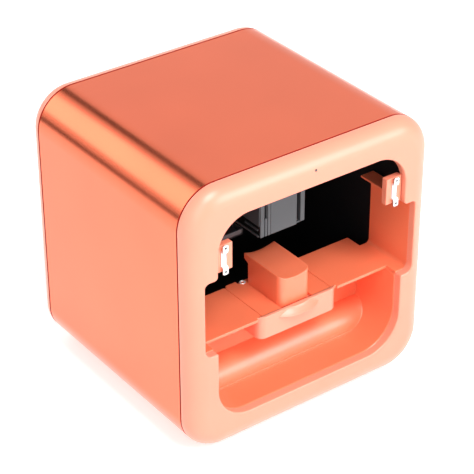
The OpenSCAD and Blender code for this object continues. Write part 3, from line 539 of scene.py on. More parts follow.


# Painted shade: the dark red of the deep seam grooves
def seam_shade():
    rgb = tones()["seam"]
    return finish("Seam red", rgb, smooth=0.6, rough=0.7, grain=3500, height=0.01, specular=0.1)


# Painted shade: black for slots, bores and recesses, standing in for their shade
def shade_black():
    return finish("Slot black", (0.002, 0.002, 0.002), smooth=0.6, rough=0.7, specular=0.1)


def grey_moulding():
    rgb = tones()["grey"]
    return finish("Carriage grey", rgb, smooth=0.34, rough=0.46, grain=2600, height=0.02)


def dark_moulding():
    rgb = tones()["dark"]
    return finish("Dark moulding", rgb, smooth=0.4, rough=0.55, grain=2600, height=0.03)


def black_coat():
    rgb = tones()["black"]
    return finish("Black powder coat", rgb, smooth=0.5, rough=0.7, grain=1400, height=0.06, specular=0.2)


def steel():
    rgb = tones()["steel"]
    return finish("Steel", rgb, smooth=0.16, rough=0.28, metallic=1, grain=1500, stretch=(1, 1, 0.1))


def bright_bar():
    return finish("Bright catch bar", (0.90, 0.90, 0.91), smooth=0.2, rough=0.3, metallic=0.3, grain=2000)


def brass():
    return finish("Brass", tones()["brass"], smooth=0.2, rough=0.34, metallic=1, grain=1500)


def rubber():
    return finish("Rubber", tones()["rubber"], smooth=0.62, rough=0.78, grain=1800, height=0.05)


def board():
    rgb = tones()["board"]
    return finish("Circuit board", rgb, mixed(rgb, (0.2, 0.3, 0.1), 0.12), 0.3, 0.42, drift=120, coat=0.3)


def felt():
    return finish("Felt", tones()["felt"], smooth=0.85, rough=1.0, grain=900, height=0.3, sheen=0.3)


def lens_glass():
    return finish("Dark lens", (0.01, 0.01, 0.012), smooth=0.06, rough=0.12, coat=1.0, coat_rough=0.03)


# ---- housing ----

# The fine rounding beside the seams and its middle step
RIM = 0.3
RIM_STEP = RIM * 0.3
# How far the spigots behind the seams, and their hollows, lie inside the housing's outline
SPIGOT_INSET = 2.7
HOLLOW_INSET = 4.7
# Depth of the strip beside a seam that is painted dark red as the groove's shade, and where its faces start
# inside the outline
SEAM_STRIP = 0.25
SEAM_INSET = 0.02
# Height from which the bezel's rays run out, and the steps in each corner of the mouldings
RAY_HEIGHT = 105.0
CORNER_STEPS = 48


def housing_corners():
    """The housing's rounded square, seen from the front."""
    return box_corners(-BODY_W / 2, 0, BODY_W / 2, BODY_H, sizes()["corner"])


def opening_corners():
    """The front opening: a tall arch with a niche on each side, anticlockwise from the foot."""
    size = sizes()
    half = size["opening_w"] / 2
    niche = size["niche_w"] / 2
    ledge_r = 1.5
    floor_r = 5.5
    ceiling_r = 3.5
    shoulder_r = 2.5
    return both_ways([
        (half, size["opening_low"], size["opening_low_r"]),
        (half, size["niche_low"], ledge_r),
        (niche, size["niche_low"], floor_r),
        (niche, size["niche_top"], ceiling_r),
        (half, size["niche_top"], shoulder_r),
        (half, size["opening_top"], size["opening_top_r"]),
    ])


def side_inset(x, z):
    """How far a point lies inside the housing's rounded square, by its exact distance."""
    radius = sizes()["corner"]
    a = np.abs(x) - (BODY_W / 2 - radius)
    b = np.abs(z - BODY_H / 2) - (BODY_H / 2 - radius)
    return radius - np.hypot(np.maximum(a, 0), np.maximum(b, 0)) - np.minimum(np.maximum(a, b), 0)


def edge_height(inset, depth, reach):
    """Depth of a quarter-ellipse edge: depth at the outline, 0 from the reach inward."""
    share = np.clip(1 - inset / reach, 0, 1)
    return depth * (1 - np.sqrt(1 - share ** 2))


def make_sleeve():
    """The metallic sleeve: the rounded square carried along its depth, outside and inside, with a
    fine rounding at both ends. The two end faces lie in the seams and are painted dark red as the groove's
    shade."""
    start, end = SLEEVE[0][1], SLEEVE[1][1]
    wall = 2.4
    section = [
        (wall, start), (RIM, start), (RIM_STEP, start + RIM_STEP), (0, start + RIM),
        (0, end - RIM), (RIM_STEP, end - RIM_STEP), (RIM, end), (wall, end),
    ]
    shape = grid(extruded(fillet_path(housing_corners(), 32), section, "y"), wrap_u=True, wrap_v=True)
    made = piece("Outer_sleeve", shape, coral_paint(), "housing", ["outer_sleeve"])
    second_finish(made, seam_shade(), lambda x, y, z: (y < start + SEAM_STRIP) | (y > end - SEAM_STRIP))


def bearings(points):
    """The unwrapped direction of each point of an outline, seen from the middle of the opening."""
    return np.unwrap(np.arctan2(points[:, 1] - RAY_HEIGHT, points[:, 0]))


def bezel_ring():
    """Points [round, along] of the bezel: the opening's wall, its rounded edge, the face, the
    quarter-ellipse edge down to the seam, the spigot and its hollow. Each point of the opening's
    outline goes with the point of the housing's outline in its direction from the middle, and the
    face's depth comes from the exact distance to the housing's outline."""
    size = sizes()
    edge = size["opening_edge"]
    reach = size["bezel_edge"]
    depth = size["bezel_depth"]
    opening_spacing = 1.6
    housing_spacing = 2.0
    inner, facing = dense(fillet_path(opening_corners(), 28), opening_spacing)
    outline, outward = dense(fillet_path(housing_corners(), CORNER_STEPS), housing_spacing)
    turn = np.maximum.accumulate(bearings(inner))
    around = bearings(outline)
    foot = np.stack([np.interp(turn, around, side, period=2 * math.pi) for side in outline.T], -1)
    out = np.stack([np.interp(turn, around, side, period=2 * math.pi) for side in outward.T], -1)
    out /= np.linalg.norm(out, axis=1, keepdims=True)
    shoulder = inner + facing * edge
    level = edge_height(side_inset(*shoulder.T), depth - RIM, reach)
    lip = np.linspace(0, math.pi / 2, 6)
    lip_flat = inner[:, None, :] + facing[:, None, :] * (edge * (1 - np.cos(lip)))[None, :, None]
    lip_y = level[:, None] + edge * (1 - np.sin(lip))
    steps = 18
    wanted = reach * (1 - np.sin(np.linspace(0, math.pi / 2, steps + 1)))
    width = ((foot - shoulder) * out).sum(1)[:, None]
    share = np.minimum(wanted / width, 1 - 0.01 * np.arange(1, steps + 2))
    face_flat = foot[:, None, :] + (shoulder - foot)[:, None, :] * share[..., None]
    face_y = edge_height(side_inset(face_flat[..., 0], face_flat[..., 1]), depth - RIM, reach)
    back = BEZEL[1][1]
    inset, tail_y = np.array([
        (RIM_STEP, depth - RIM_STEP), (RIM, depth), (SPIGOT_INSET, depth), (SPIGOT_INSET, back),
        (HOLLOW_INSET, back), (HOLLOW_INSET, FACE_WALL),
    ]).T
    tail_flat = foot[:, None, :] - out[:, None, :] * inset[None, :, None]
    wall_y = np.full((len(inner), 1), FACE_WALL)
    flat = np.concatenate([inner[:, None, :], lip_flat, face_flat, tail_flat], 1)
    y = np.concatenate([wall_y, lip_y, face_y, np.broadcast_to(tail_y, tail_flat.shape[:2])], 1)
    return np.stack([flat[..., 0], y, flat[..., 1]], -1)


def make_bezel():
    """The front moulding with its opening, and the status lamp in its pin hole: a turned pin with
    a small chamfer. The spigot at the bottom of the seam is painted dark red as the groove's shade."""
    low, high = seat("status_lens")
    lamp = (0.0, 0.0, (low[2] + high[2]) / 2)
    hole_r = 0.95
    hole_depth = 2.4
    lens_r = 0.93
    hole = turned([(hole_r, -1.0), (hole_r, hole_depth)], lamp, "y", 24)
    ring = grid(bezel_ring(), wrap_u=True, wrap_v=True)
    made = piece(
        "Front_bezel", ring, peach_moulding(), "housing", ["front_bezel"], holes=hole
    )
    seam = sizes()["bezel_depth"]
    second_finish(
        made, seam_shade(), lambda x, y, z: (y > seam - SEAM_STRIP) & (side_inset(x, z) > SEAM_INSET)
    )
    tip = turned([(lens_r - 0.08, 0.3), (lens_r, 0.5), (lens_r, hole_depth - 0.1)], lamp, "y", 24)
    piece("Status_lens", tip, lens_glass(), "housing", ["status_lens"])


def make_cover():
    """The rear moulding: the rounded square closed at the back, with vents and socket holes."""
    size = sizes()
    depth = size["cover_depth"]
    reach = size["cover_edge"]
    wall = 3.0
    seam = BODY_D - depth
    curve = [
        (reach * (1 - math.sin(a)), BODY_D - (depth - RIM) * (1 - math.cos(a)))
        for a in np.linspace(math.pi / 2, 0, 19)
    ]
    section = [
        (HOLLOW_INSET, BODY_D - wall), (HOLLOW_INSET, COVER[0][1]), (SPIGOT_INSET, COVER[0][1]),
        (SPIGOT_INSET, seam), (RIM, seam), (RIM_STEP, seam + RIM_STEP),
    ] + curve
    outline = fillet_path(housing_corners(), CORNER_STEPS)
    shape = grid(extruded(outline, section, "y"), wrap_u=True, caps=True)
    start, end = BODY_D - wall - 1, BODY_D + 1
    vent_count = 11
    vent_pitch = 7.0
    vent_half = 1.5
    vent_low = 128
    vent_top = 162
    vent = box_corners(-vent_half, vent_low, vent_half, vent_top, vent_half - 0.01)
    slot = prism(vent, start, end, "y")
    port_gap = 0.5
    places = (np.arange(vent_count) - (vent_count - 1) / 2) * vent_pitch
    holes = [moved(slot, (x, 0, 0)) for x in places]
    port_low, port_high = seat("data_port")
    socket_height = (port_low[2] + port_high[2]) / 2
    for node, radius in (("dc_inlet", 4.8), ("power_button", 6.3)):
        low, high = seat(node)
        middle = ((low[0] + high[0]) / 2, 0, socket_height)
        holes.append(turned([(radius, start), (radius, end)], middle, "y", 48))
    low, high = port_low - port_gap, port_high + port_gap
    port = box_corners(low[0], low[2], high[0], high[2], 0.8)
    holes.append(prism(port, start, end, "y"))
    made = piece(
        "Rear_cover", shape, peach_moulding(), "housing", ["rear_cover"],
        holes=joined(holes)
    )
    # The faces beside the seam are painted dark red as the groove's shade
    second_finish(
        made, seam_shade(), lambda x, y, z: (y < seam + SEAM_STRIP) & (side_inset(x, z) > SEAM_INSET)
    )


# ---- bay ----

def make_shelf():
    """The shelf's two sides with their niches: a plate with soft edges, and the niche's section
    (floor, cove, wall, corner, ceiling) carried along its depth."""
    size = sizes()
    edge = size["soft_edge"]
    half = size["opening_w"] / 2
    wall = size["niche_w"] / 2
    ceiling = size["niche_top"]
    outer = LINER[1][0]
    roof = LINER[1][2]
    inner = half + 0.3
    niche_back = LINER[1][1] - 13.3
    niche_start = 79.5
    niche_floor = SHELF_TOP - 0.02
    corner_r = 3.2
    tight = 0.3
    section = [
        (niche_start, SHELF_LOW, tight), (outer, SHELF_LOW, tight), (outer, roof, tight),
        (inner, roof, tight), (inner, ceiling, tight), (wall, ceiling, corner_r),
        (wall, niche_floor, size["cove"]), (niche_start, niche_floor, tight),
    ]
    niche = bar(section, FACE_WALL, niche_back, "y", edge, 10)
    seam = PLATE[1][0] + 0.3
    lift_side = LIFT[1][0] + 0.25
    beside_lift = PLATE[0][1]
    front = 15.5
    overlap = niche_start + 1
    overlap_back = 46.7
    back = 60.0
    plan = [
        (seam, beside_lift, 0.1), (lift_side, beside_lift, 0.1), (lift_side, front, tight),
        (half, front, tight), (half, FACE_WALL, tight), (overlap, FACE_WALL, tight),
        (overlap, overlap_back, tight), (niche_start, overlap_back, tight),
        (niche_start, back, 1.2), (seam, back, 0.6),
    ]
    plate = bar(plan, SHELF_LOW, SHELF_TOP, "z", edge)
    shape = both(joined([niche, plate]))
    piece("Bay_liner", shape, salmon_moulding(), "housing", ["bay_liner"])


def make_centre_plate():
    """The loose plate in the middle of the shelf, its outline carried up its thickness: a slot for
    the finger rest in front, and at the back a stepped corner and a groove on each side."""
    low, high = PLATE
    gap = REST[1][0] + 0.1
    slot_end = 55.1
    step = 59.3
    step_side = high[0] - 1.6
    groove_out = 19.0
    groove_in = 17.5
    groove_front = 58.0
    back = 60.0
    half_plan = [
        (high[0], low[1], 0.3), (high[0], step, 0.4), (step_side, step, 0.2), (step_side, high[1], 0.5),
        (groove_out, high[1], 0.5), (groove_out, groove_front, 0.2), (groove_in, groove_front, 0.2),
        (groove_in, back, 0.4),
    ]
    slot = [(-gap, low[1], 0.3), (-gap, slot_end, 0.3), (gap, slot_end, 0.3), (gap, low[1], 0.3)]
    outline = both_ways(half_plan) + slot
    shape = bar(outline, SHELF_LOW, SHELF_TOP, "z", sizes()["soft_edge"], 4)
    piece("Centre_plate", shape, salmon_moulding(), "housing", ["centre_plate"])


def make_eyelets():
    """Two bright rings in the middle plate: a profile turned round an upright axis, with the bottom of
    the bore painted black as shade."""
    side = 15.6
    depth = 57.9
    outer_r = 2.2
    bore_r = 1.3
    bevel = 0.2
    proud = 0.5
    top = SHELF_TOP + proud
    profile = [
        (outer_r, top - 0.8), (outer_r, top - bevel), (outer_r - bevel, top), (bore_r + bevel, top),
        (bore_r, top - bevel), (bore_r, top - 0.7),
    ]
    ring = turned(profile, (side, depth, 0), "z", 28)
    made = piece("Plate_eyelets", both(ring), bright_bar(), "housing", [])
    # The bore's bottom is painted black as shade
    second_finish(made, shade_black(), lambda x, y, z: (
        (z < top - 0.6) & (np.hypot(np.abs(x) - side, y - depth) < 1)
    ))


def smooth_max(a, b, blend):
    """The larger of two heights, rounded over where they lie within the blend of each other."""
    mix = np.clip(0.5 + 0.5 * (a - b) / blend, 0, 1)
    return b + (a - b) * mix + blend * mix * (1 - mix)


def make_palm_rest():
    """The lower moulding as one height over (u, v): u runs across the arch's foot and up its side
    walls, v runs from the front over the floor, the step and the roll and up the back wall. Each
    point takes the larger of the two heights, and up to the step the height over u alone."""
    size = sizes()
    half = size["opening_w"] / 2
    low = size["opening_low"]
    radius = size["opening_low_r"]
    top = SHELF_LOW - 0.05
    angle = np.linspace(0, math.pi / 2, 57)
    level = np.linspace(0, half - radius, 22)[:-1]
    wall_z = np.linspace(low + radius, top, 18)[1:]
    right_x = np.concatenate([level, half - radius + radius * np.sin(angle), np.full(len(wall_z), half)])
    right_z = np.concatenate([np.full(len(level), low), low + radius * (1 - np.cos(angle)), wall_z])
    u_x = np.concatenate([-right_x[:0:-1], right_x])
    u_z = np.concatenate([right_z[:0:-1], right_z])
    roll = size["roll"]
    rise = size["roll_step"]
    edge = size["soft_edge"]
    blend = 1.0
    wall = 1.8
    back = TRAY[1][1] - 2.0
    step = back - roll - 0.6
    turn = np.linspace(0, math.pi / 2, 41)
    small = np.linspace(0, math.pi / 2, 5)
    floor_y = np.linspace(FACE_WALL, step - 0.4, 12)
    wall_up = np.linspace(low + rise + roll, top, 26)[1:]
    v_y = np.concatenate([
        floor_y, [step, step], step + edge * (1 - np.cos(small)), back - roll * np.cos(turn),
        np.full(len(wall_up), back),
    ])
    v_z = np.concatenate([
        np.full(len(floor_y) + 1, low), [low + 0.2], low + rise - edge * (1 - np.sin(small)),
        low + rise + roll * np.sin(turn), wall_up,
    ])
    height = smooth_max(np.broadcast_to(u_z[:, None], (len(u_x), len(v_y))), v_z[None, :], blend)
    height[:, :len(floor_y) + 1] = u_z[:, None]
    height = np.minimum(height, top)
    x = np.broadcast_to(u_x[:, None], height.shape)
    y = np.broadcast_to(v_y[None, :], height.shape)
    shape = grid(np.stack([x, y, height], -1))
    made = piece("Palm_rest", shape, salmon_moulding(), "housing", ["palm_rest"], 50)
    if sum(face.normal.z * face.area for face in made.data.polygons) < 0:
        made.data.flip_normals()
    thick = made.modifiers.new("Wall", "SOLIDIFY")
    thick.thickness = wall * MM
    thick.offset = -1
    with bpy.context.temp_override(object=made, active_object=made):
        bpy.ops.object.modifier_move_to_index(modifier="Wall", index=0)


def make_lift():
    """The lift's housing with its round nose, and the finger rest with its saddle."""
    low, high = LIFT
    edge = sizes()["soft_edge"]
    front = 15.0
    corner = 6.0
    sunk = front + 0.05
    rim_thick = 2.25
    plan = [
        (low[0], sunk, corner), (high[0], sunk, corner), (high[0], high[1], 0.5),
        (low[0], high[1], 0.5),
    ]
    box = bar(plan, low[2], SHELF_LOW - 0.05, "z", 0.6, 12)
    section = soft_ends(low[2], high[2], edge * 0.8)
    strip = rim_outline(high[0], front, corner, rim_thick)
    rim = grid(extruded(strip, section, "z"), wrap_u=True, caps=True)
    shape = joined([box, rim, nose(high[2] - 0.03)])
    piece("Lift_housing", shape, peach_moulding(), "housing", ["lift_housing"])
    piece("Finger_rest", rest_shape(), rest_moulding(), "rest", ["finger_rest"], 45)


def rim_outline(half, front, corner, thick):
    """The front strip of the housing's rounded plan, cut straight at the back: the two corner
    arcs end where they reach the strip's thickness."""
    angle = np.linspace(0, math.acos(1 - thick / corner), 12)
    x = half - corner + corner * np.sin(angle)
    y = front + corner * (1 - np.cos(angle))
    right = np.stack([x, y], -1)
    facing = np.stack([np.sin(angle), -np.cos(angle)], -1)
    flip = np.array([-1.0, 1.0])
    rear = np.array([[0.0, 1.0], [0.0, 1.0]])
    points = np.concatenate([right, right[-1:], right[-1:] * flip, (right * flip)[::-1]])
    return points, np.concatenate([facing, rear, (facing * flip)[::-1]])


def nose(top):
    """The round nose: rings of a profile that widens downward round the rest's middle, each
    closed behind the housing's front face."""
    middle = 37.0
    cut = 16.0
    buried = cut + 0.9
    radius, drop = np.array([
        (23.1, 0.0), (23.32, 0.08), (23.45, 0.25), (23.75, 0.9), (23.95, 1.15), (24.5, 1.75),
        (25.5, 2.7), (26.7, 3.75), (27.6, 4.35), (27.9, 4.52), (28.0, 4.7), (27.9, 4.85), (27.4, 4.9),
    ]).T
    limit = np.arccos((middle - cut) / radius)
    angle = np.linspace(-1, 1, 81)[:, None] * limit
    x = radius * np.sin(angle)
    y = middle - radius * np.cos(angle)
    behind = np.full((1, len(radius)), buried)
    x = np.concatenate([x, x[-1:], x[:1]])
    y = np.concatenate([y, behind, behind])
    z = np.broadcast_to(top - drop, x.shape)
    return grid(np.stack([x, y, z], -1), wrap_u=True, caps=True)


def rest_shape():
    """The finger rest: rings of a rounded plan carried up its side, over the rim and in to the
    middle. The back leans out under the saddle's overhang, and the top follows the saddle's arc."""
    low, high = REST
    half = high[0]
    over = high[1]
    back = 55.0
    lean_z = 95.6
    lean_rise = 2.0
    blend_z = 97.0
    border = 1.6
    front_r = 5.0
    back_r = 0.8
    spine_half = 16
    foot_edge = 0.4
    levels = (94.0, 95.4, 96.2, 97.6)
    depth = sizes()["saddle"]
    top = high[2]
    hollow_r = (half ** 2 + depth ** 2) / (2 * depth)
    edge = 0.7
    corners = box_corners(-half, low[1], half, over, front_r, back_r)
    plan, normals = dense(fillet_path(corners, 10), 1.0)
    angle = np.linspace(0, math.pi / 2, 6)[1:]
    side = [(foot_edge, low[2]), (0.0, low[2] + foot_edge)] + [(0.0, z) for z in (*levels, top - edge)]
    rim = [(edge * (1 - math.cos(a)), top - edge + edge * math.sin(a)) for a in angle]
    deck = [(inset, top) for inset in np.linspace(border, half - 0.4, 12)]
    inset, z = np.array(side + rim + deck).T
    near = np.minimum(inset, border)
    straight = plan[:, None, :] - normals[:, None, :] * near[None, :, None]
    middle = (low[1] + over) / 2
    spine_y = middle + np.clip(plan[:, 1] - middle, -spine_half, spine_half)
    spine = np.stack([np.zeros(len(plan)), spine_y], -1)
    inward = np.clip((inset - border) / (half - border), 0, 1)[None, :, None]
    flat = straight + (spine[:, None, :] - straight) * inward
    rear = back + (over - back) * np.clip((z - lean_z) / lean_rise, 0, 1)
    x = flat[..., 0]
    y = np.minimum(flat[..., 1], rear[None, :])
    dip = depth - hollow_r + np.sqrt(hollow_r ** 2 - np.clip(np.abs(x), 0, half) ** 2)
    height = z[None, :] - dip * np.clip((z[None, :] - blend_z) / (top - blend_z), 0, 1)
    return grid(np.stack([x, y, height], -1), wrap_u=True, caps=True)


# ---- catches ----

def pierced(corners, centre, radius, start, end, edge):
    """A plate with a round hole through it: the outline's rounded rim, joined to the hole's wall
    point by point in the same directions from the hole's centre."""
    points, normals = dense(fillet_path(corners, 5, least=edge * 1.05), 0.7)
    rays = points - np.asarray(centre)
    rays /= np.linalg.norm(rays, axis=1, keepdims=True)
    rim = extruded((points, normals), soft_ends(start, end, edge), "y")
    hole = extruded((centre + radius * rays, rays), [(0, end), (0, start)], "y")
    return grid(np.concatenate([rim, hole], 1), wrap_u=True, wrap_v=True)


def make_catches():
    """The two magnetic catches: an orange block with a slot, a bright bar in it with a pierced ear
    at each end, and the screws through the ears. Each is made on the right and mirrored."""
    low, high = seat("catch_block_right")
    bar_low, bar_high = seat("catch_plate_right")
    front = bar_high[1]
    block_out = 76.7
    left, right = bar_low[0], bar_high[0]
    centre = (left + right) / 2
    middle = (bar_low[2] + bar_high[2]) / 2
    gap = 0.3
    bar_half = 5.5
    slot_half = 5.8
    pitch = 17.5
    hole_r = 0.95
    screw_r = 0.9
    ear_front = bar_low[1] - 0.3
    ear_back = ear_front + 0.8
    block = soft_box((low[0], front, low[2]), (block_out, high[1], high[2]), 0.45)
    mouth = box_corners(left - gap, middle - slot_half, right + gap, middle + slot_half, 0.3)
    slot = prism(mouth, front - 1, high[1] - 1, "y")
    parts = [
        soft_box((left, front - 0.15, middle - bar_half), (right, front + 0.4, middle + bar_half), 0.15)
    ]
    screws = []
    for side in (-1, 1):
        reach = sorted((middle + side * 5.6, middle + side * (pitch / 2 + 2.1)))
        ear = middle + side * pitch / 2
        plate = box_corners(left, reach[0], right, reach[1], 1.0)
        parts.append(pierced(plate, (centre, ear), hole_r, ear_front, ear_back, 0.2))
        web = sorted((middle + side * 5.0, middle + side * 6.1))
        parts.append(soft_box((left, ear_front + 0.3, web[0]), (right, front + 0.9, web[1]), 0.2))
        profile = [(screw_r, front + 0.2), (screw_r, ear_back), (screw_r - 0.2, ear_back - 0.15)]
        screws.append(turned(profile, (centre, 0, ear), "y", 20))

    # Painted shade: the slot's walls and floor are coloured black
    def in_slot(x, y, z):
        across = np.abs(np.abs(x) - centre) < 2.6
        along = np.abs(z - middle) < slot_half + 0.1
        return across & along & (y > front + 0.05) & (y < high[1] - 0.5)

    for tag, turn in (("right", lambda shape: shape), ("left", mirrored)):
        made = piece(
            "Catch_block_" + tag, turn(block), catch_moulding(), "housing",
            ["catch_block_" + tag], holes=turn(slot)
        )
        second_finish(made, shade_black(), in_slot)
        piece(
            "Catch_bar_" + tag, turn(joined(parts)), bright_bar(), "housing",
            ["catch_plate_" + tag]
        )
    # The screws take the painted shade black too, so that the ears' holes read dark
    piece("Catch_screws", both(joined(screws)), shade_black(), "housing", ["catch_screws"])


# ---- carriage ----

def make_carriage():
    """The carriage's cheeks, floor and ribs, the cartridge between them and the latch over it, as
    soft-edged walls. The left cheek's outer side has a shallow recess between two rails, its floor painted
    black as shade."""
    low, high = seat("carriage_body")
    cart_low, cart_high = seat("ink_cartridge")
    front = cart_low[1]
    foot = 128.0
    top = 172.0
    side = 18.5
    back = 84.0
    shoe_back = high[1]
    left_cheek_in = -15.2
    right_cheek_in = 14.9
    well = side - 1
    floor_top = foot + 2
    floor_left = -9.2
    floor_right = 8.0
    floor_rear = 73.0
    lower_shoe_foot = 133.0
    lower_shoe_top = 160.6
    upper_shoe_foot = 165.0
    recess_skin = 0.12
    recess_low = foot + 1.5
    recess_top = foot + 8.6
    walls = [
        # left cheek and its flange, right cheek and its flange
        soft_box((-side, front, foot), (left_cheek_in, back, top), 0.3),
        soft_box((-14.7, front, foot), (-13.0, front + 3, foot + 13.7), 0.2),
        soft_box((right_cheek_in, front, foot + 1), (side, back, top), 0.3),
        soft_box((12.1, front + 0.5, foot + 0.5), (15.2, front + 2, foot + 1.5), 0.2),
        # floor on three sides of the cartridge's foot, and the back wall
        soft_box((-well, front + 4, foot), (floor_left, back, floor_top), 0.3),
        soft_box((floor_right, front + 4, foot), (well, back, floor_top), 0.3),
        soft_box((-well, floor_rear, foot), (well, back, floor_top), 0.3),
        soft_box((-well, back - 4, foot), (well, back, top), 0.4),
        # the two shoes behind it
        soft_box((-side, back - 1, lower_shoe_foot), (side, shoe_back, lower_shoe_top), 0.6),
        soft_box((-side, back - 1, upper_shoe_foot), (side, shoe_back, high[2]), 0.6),
        # outside of the left cheek: upper rail, recess, fin and lower rail
        soft_box((-side - 0.7, front + 0.8, recess_top), (-well, back, top), 0.25),
        soft_box(
            (-side - recess_skin, front + 0.6, recess_low - 0.5), (-well, back, recess_top + 0.5), 0.05
        ),
        soft_box((low[0], front + 2, foot + 5), (-side + 0.5, front + 16, foot + 6.2), 0.25),
        soft_box((-side - 0.8, front + 2, foot), (-well, back, recess_low), 0.25),
    ]
    made = piece("Carriage", joined(walls), grey_moulding(), "carriage", ["carriage_body"])
    # The recess floor is painted black as shade
    second_finish(made, shade_black(), lambda x, y, z: (
        (np.abs(x + side + recess_skin) < 0.02) & (z > recess_low) & (z < recess_top)
    ))
    split = cart_low[0] + 3.1
    lid_back = front + 3.8
    cart = [
        soft_box((cart_low[0], front + 0.6, foot + 2.2), (cart_high[0], cart_high[1], cart_high[2]), 0.4),
        soft_box((split, front, foot), (cart_high[0], lid_back, cart_high[2]), 0.3),
        soft_box((cart_low[0] + 0.6, front, foot), (split - 0.2, lid_back, cart_high[2]), 0.2),
        soft_box((-8.1, 54, cart_low[2]), (6.9, 72, foot + 4), 0.4),
    ]
    piece("Ink_cartridge", joined(cart), grey_moulding(), "cartridge", ["ink_cartridge"])
    low, high = seat("cartridge_latch")
    bore_r = 1.6
    eye_r = 2.6
    pin_low, pin_high = seat("latch_pin")
    pin_y, pin_z = (pin_low[1] + pin_high[1]) / 2, (pin_low[2] + pin_high[2]) / 2
    eye = [(bore_r, low[0]), (eye_r, low[0]), (eye_r, high[0]), (bore_r, high[0])]
    latch = [
        soft_box((low[0], low[1], low[2]), (high[0], pin_y, pin_z + 1), 0.6),
        turned(eye, (0, pin_y, pin_z), "x", 32),
    ]
    piece("Cartridge_latch", joined(latch), dark_moulding(), "latch", ["cartridge_latch"])


def make_station():
    """The service station's tray: a floor, four soft-edged walls, a leg and two seats."""
    low, high = seat("station_tray")
    foot = high[2] - 4.6
    rim = 1.5
    seat_front = 76
    seat_back = 92
    cap_seat = (-53, -39)
    wiper_seat = (-28, -24)
    walls = [
        soft_box((low[0], low[1], foot), (high[0], high[1], foot + rim), 0.3),
        soft_box((low[0], low[1], foot), (high[0], low[1] + rim, high[2]), 0.3),
        soft_box((low[0], high[1] - rim, foot), (high[0], high[1], high[2]), 0.3),
        soft_box((low[0], low[1], foot), (low[0] + rim, high[1], high[2]), 0.3),
        soft_box((high[0] - rim, low[1], foot), (high[0], high[1], high[2]), 0.3),
        soft_box((low[0], low[1], low[2]), (low[0] + 2, high[1], foot + 1), 0.3),
    ]
    for left, right in (cap_seat, wiper_seat):
        walls.append(soft_box((left, seat_front, foot + 1), (right, seat_back, high[2]), 0.3))
    piece("Station_tray", joined(walls), grey_moulding(), "housing", ["station_tray"])


# ---- rear ----

def make_button():
    """The power button with a dished face."""
    low, high = seat("power_button")
    middle = ((low[0] + high[0]) / 2, 0, (low[2] + high[2]) / 2)
    face = high[1]
    flange_r = 7.6
    stem_r = 6.0
    profile = [
        (flange_r, low[1]), (flange_r, low[1] + 1.8), (stem_r, low[1] + 2.0), (stem_r, face - 0.6),
        (5.7, face - 0.15),
        (5.3, face), (4.4, face - 0.1), (3.0, face - 0.35), (1.5, face - 0.5), (0.2, face - 0.55),
    ]
    shape = turned(profile, middle, "y", 56)
    piece("Power_button", shape, grey_moulding(), "button", ["power_button"])


# ---- finishes of the frame's own nodes ----

def finish_mechanism():
    """Puts a finish in the material slots of every frame node that stays visible."""
    groups = {
        black_coat: "base_plate side_plate_left side_plate_right back_plate top_bridge rod_brackets"
        " cross_motor long_motor dc_inlet finger_switch camera_lens",
        dark_moulding: "gantry_block_left gantry_block_right gantry_bridge catch_magnets",
        grey_moulding: "belt_clamp",
        steel: "foot_screws lift_springs lift_pins long_rods cross_rods drive_pulley idler_pulley"
        " idler_pin latch_pin lead_screw heat_sink button_spring data_port",
        brass: "long_bushes cross_bushes nozzle_plate lead_nut",
        rubber: "rubber_feet cross_stops cross_belt nozzle_cap wiper_blade",
        board: "camera_board main_board",
        felt: "ink_pad",
    }
    for make, names in groups.items():
        for name in names.split():
            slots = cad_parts[name].data.materials
            slots.clear()
            slots.append(make())


# ---- stage ----

# The camera's focal length and sensor width in millimetres, how far it sees, its place in metres,
# and the picture's right and up directions
CAMERA_LENS = 136.5
CAMERA_SENSOR = 36
CAMERA_REACH = 20
CAMERA_PLACE = (-0.6299, -0.8617, 0.7593)
CAMERA_RIGHT = (0.8035, -0.5953, -0.0019)
CAMERA_UP = (0.3161, 0.4241, 0.8487)
# The floor's own grey and half width, and the glow that brings it to white for the camera and in
# reflections
FLOOR_GREY = 0.90
FLOOR_HALF = 6
FLOOR_SEEN = 0.46
FLOOR_REFLECTED = 0.68
# The room's strength as light on the object. It is 1 where it is seen.
ROOM_LIGHT = 0.16
# Where the lamps aim, and a point on the housing's long upper edge, from which the flags are set
AIM = (0, 0, 0.1)
UPPER_EDGE = (-0.09, 0.0, 0.19)
SQUARE = ((-1, -1), (1, -1), (1, 1), (-1, 1))


def make_camera():
    """The camera at the photo's place and angle."""
    data = bpy.data.cameras.new("Camera")
    data.lens = CAMERA_LENS
    data.sensor_width = CAMERA_SENSOR
    data.clip_end = CAMERA_REACH
    camera = bpy.data.objects.new("Camera", data)
    right = Vector(CAMERA_RIGHT)
    up = Vector(CAMERA_UP)
    turn = Matrix((right, up, right.cross(up).normalized())).transposed()
    camera.matrix_world = Matrix.Translation(CAMERA_PLACE) @ turn.to_4x4()
    bpy.context.scene.collection.objects.link(camera)
    bpy.context.scene.camera = camera


def seen_rays(tree):
    """Light Path's Is Camera Ray, and the larger of its Is Glossy Ray and Is Transmission Ray."""
    rays = tree.nodes.new("ShaderNodeLightPath")
    mirrored_rays = math_operation(
        tree, "MAXIMUM", rays.outputs["Is Glossy Ray"], rays.outputs["Is Transmission Ray"]
    )
    return rays.outputs["Is Camera Ray"], mirrored_rays


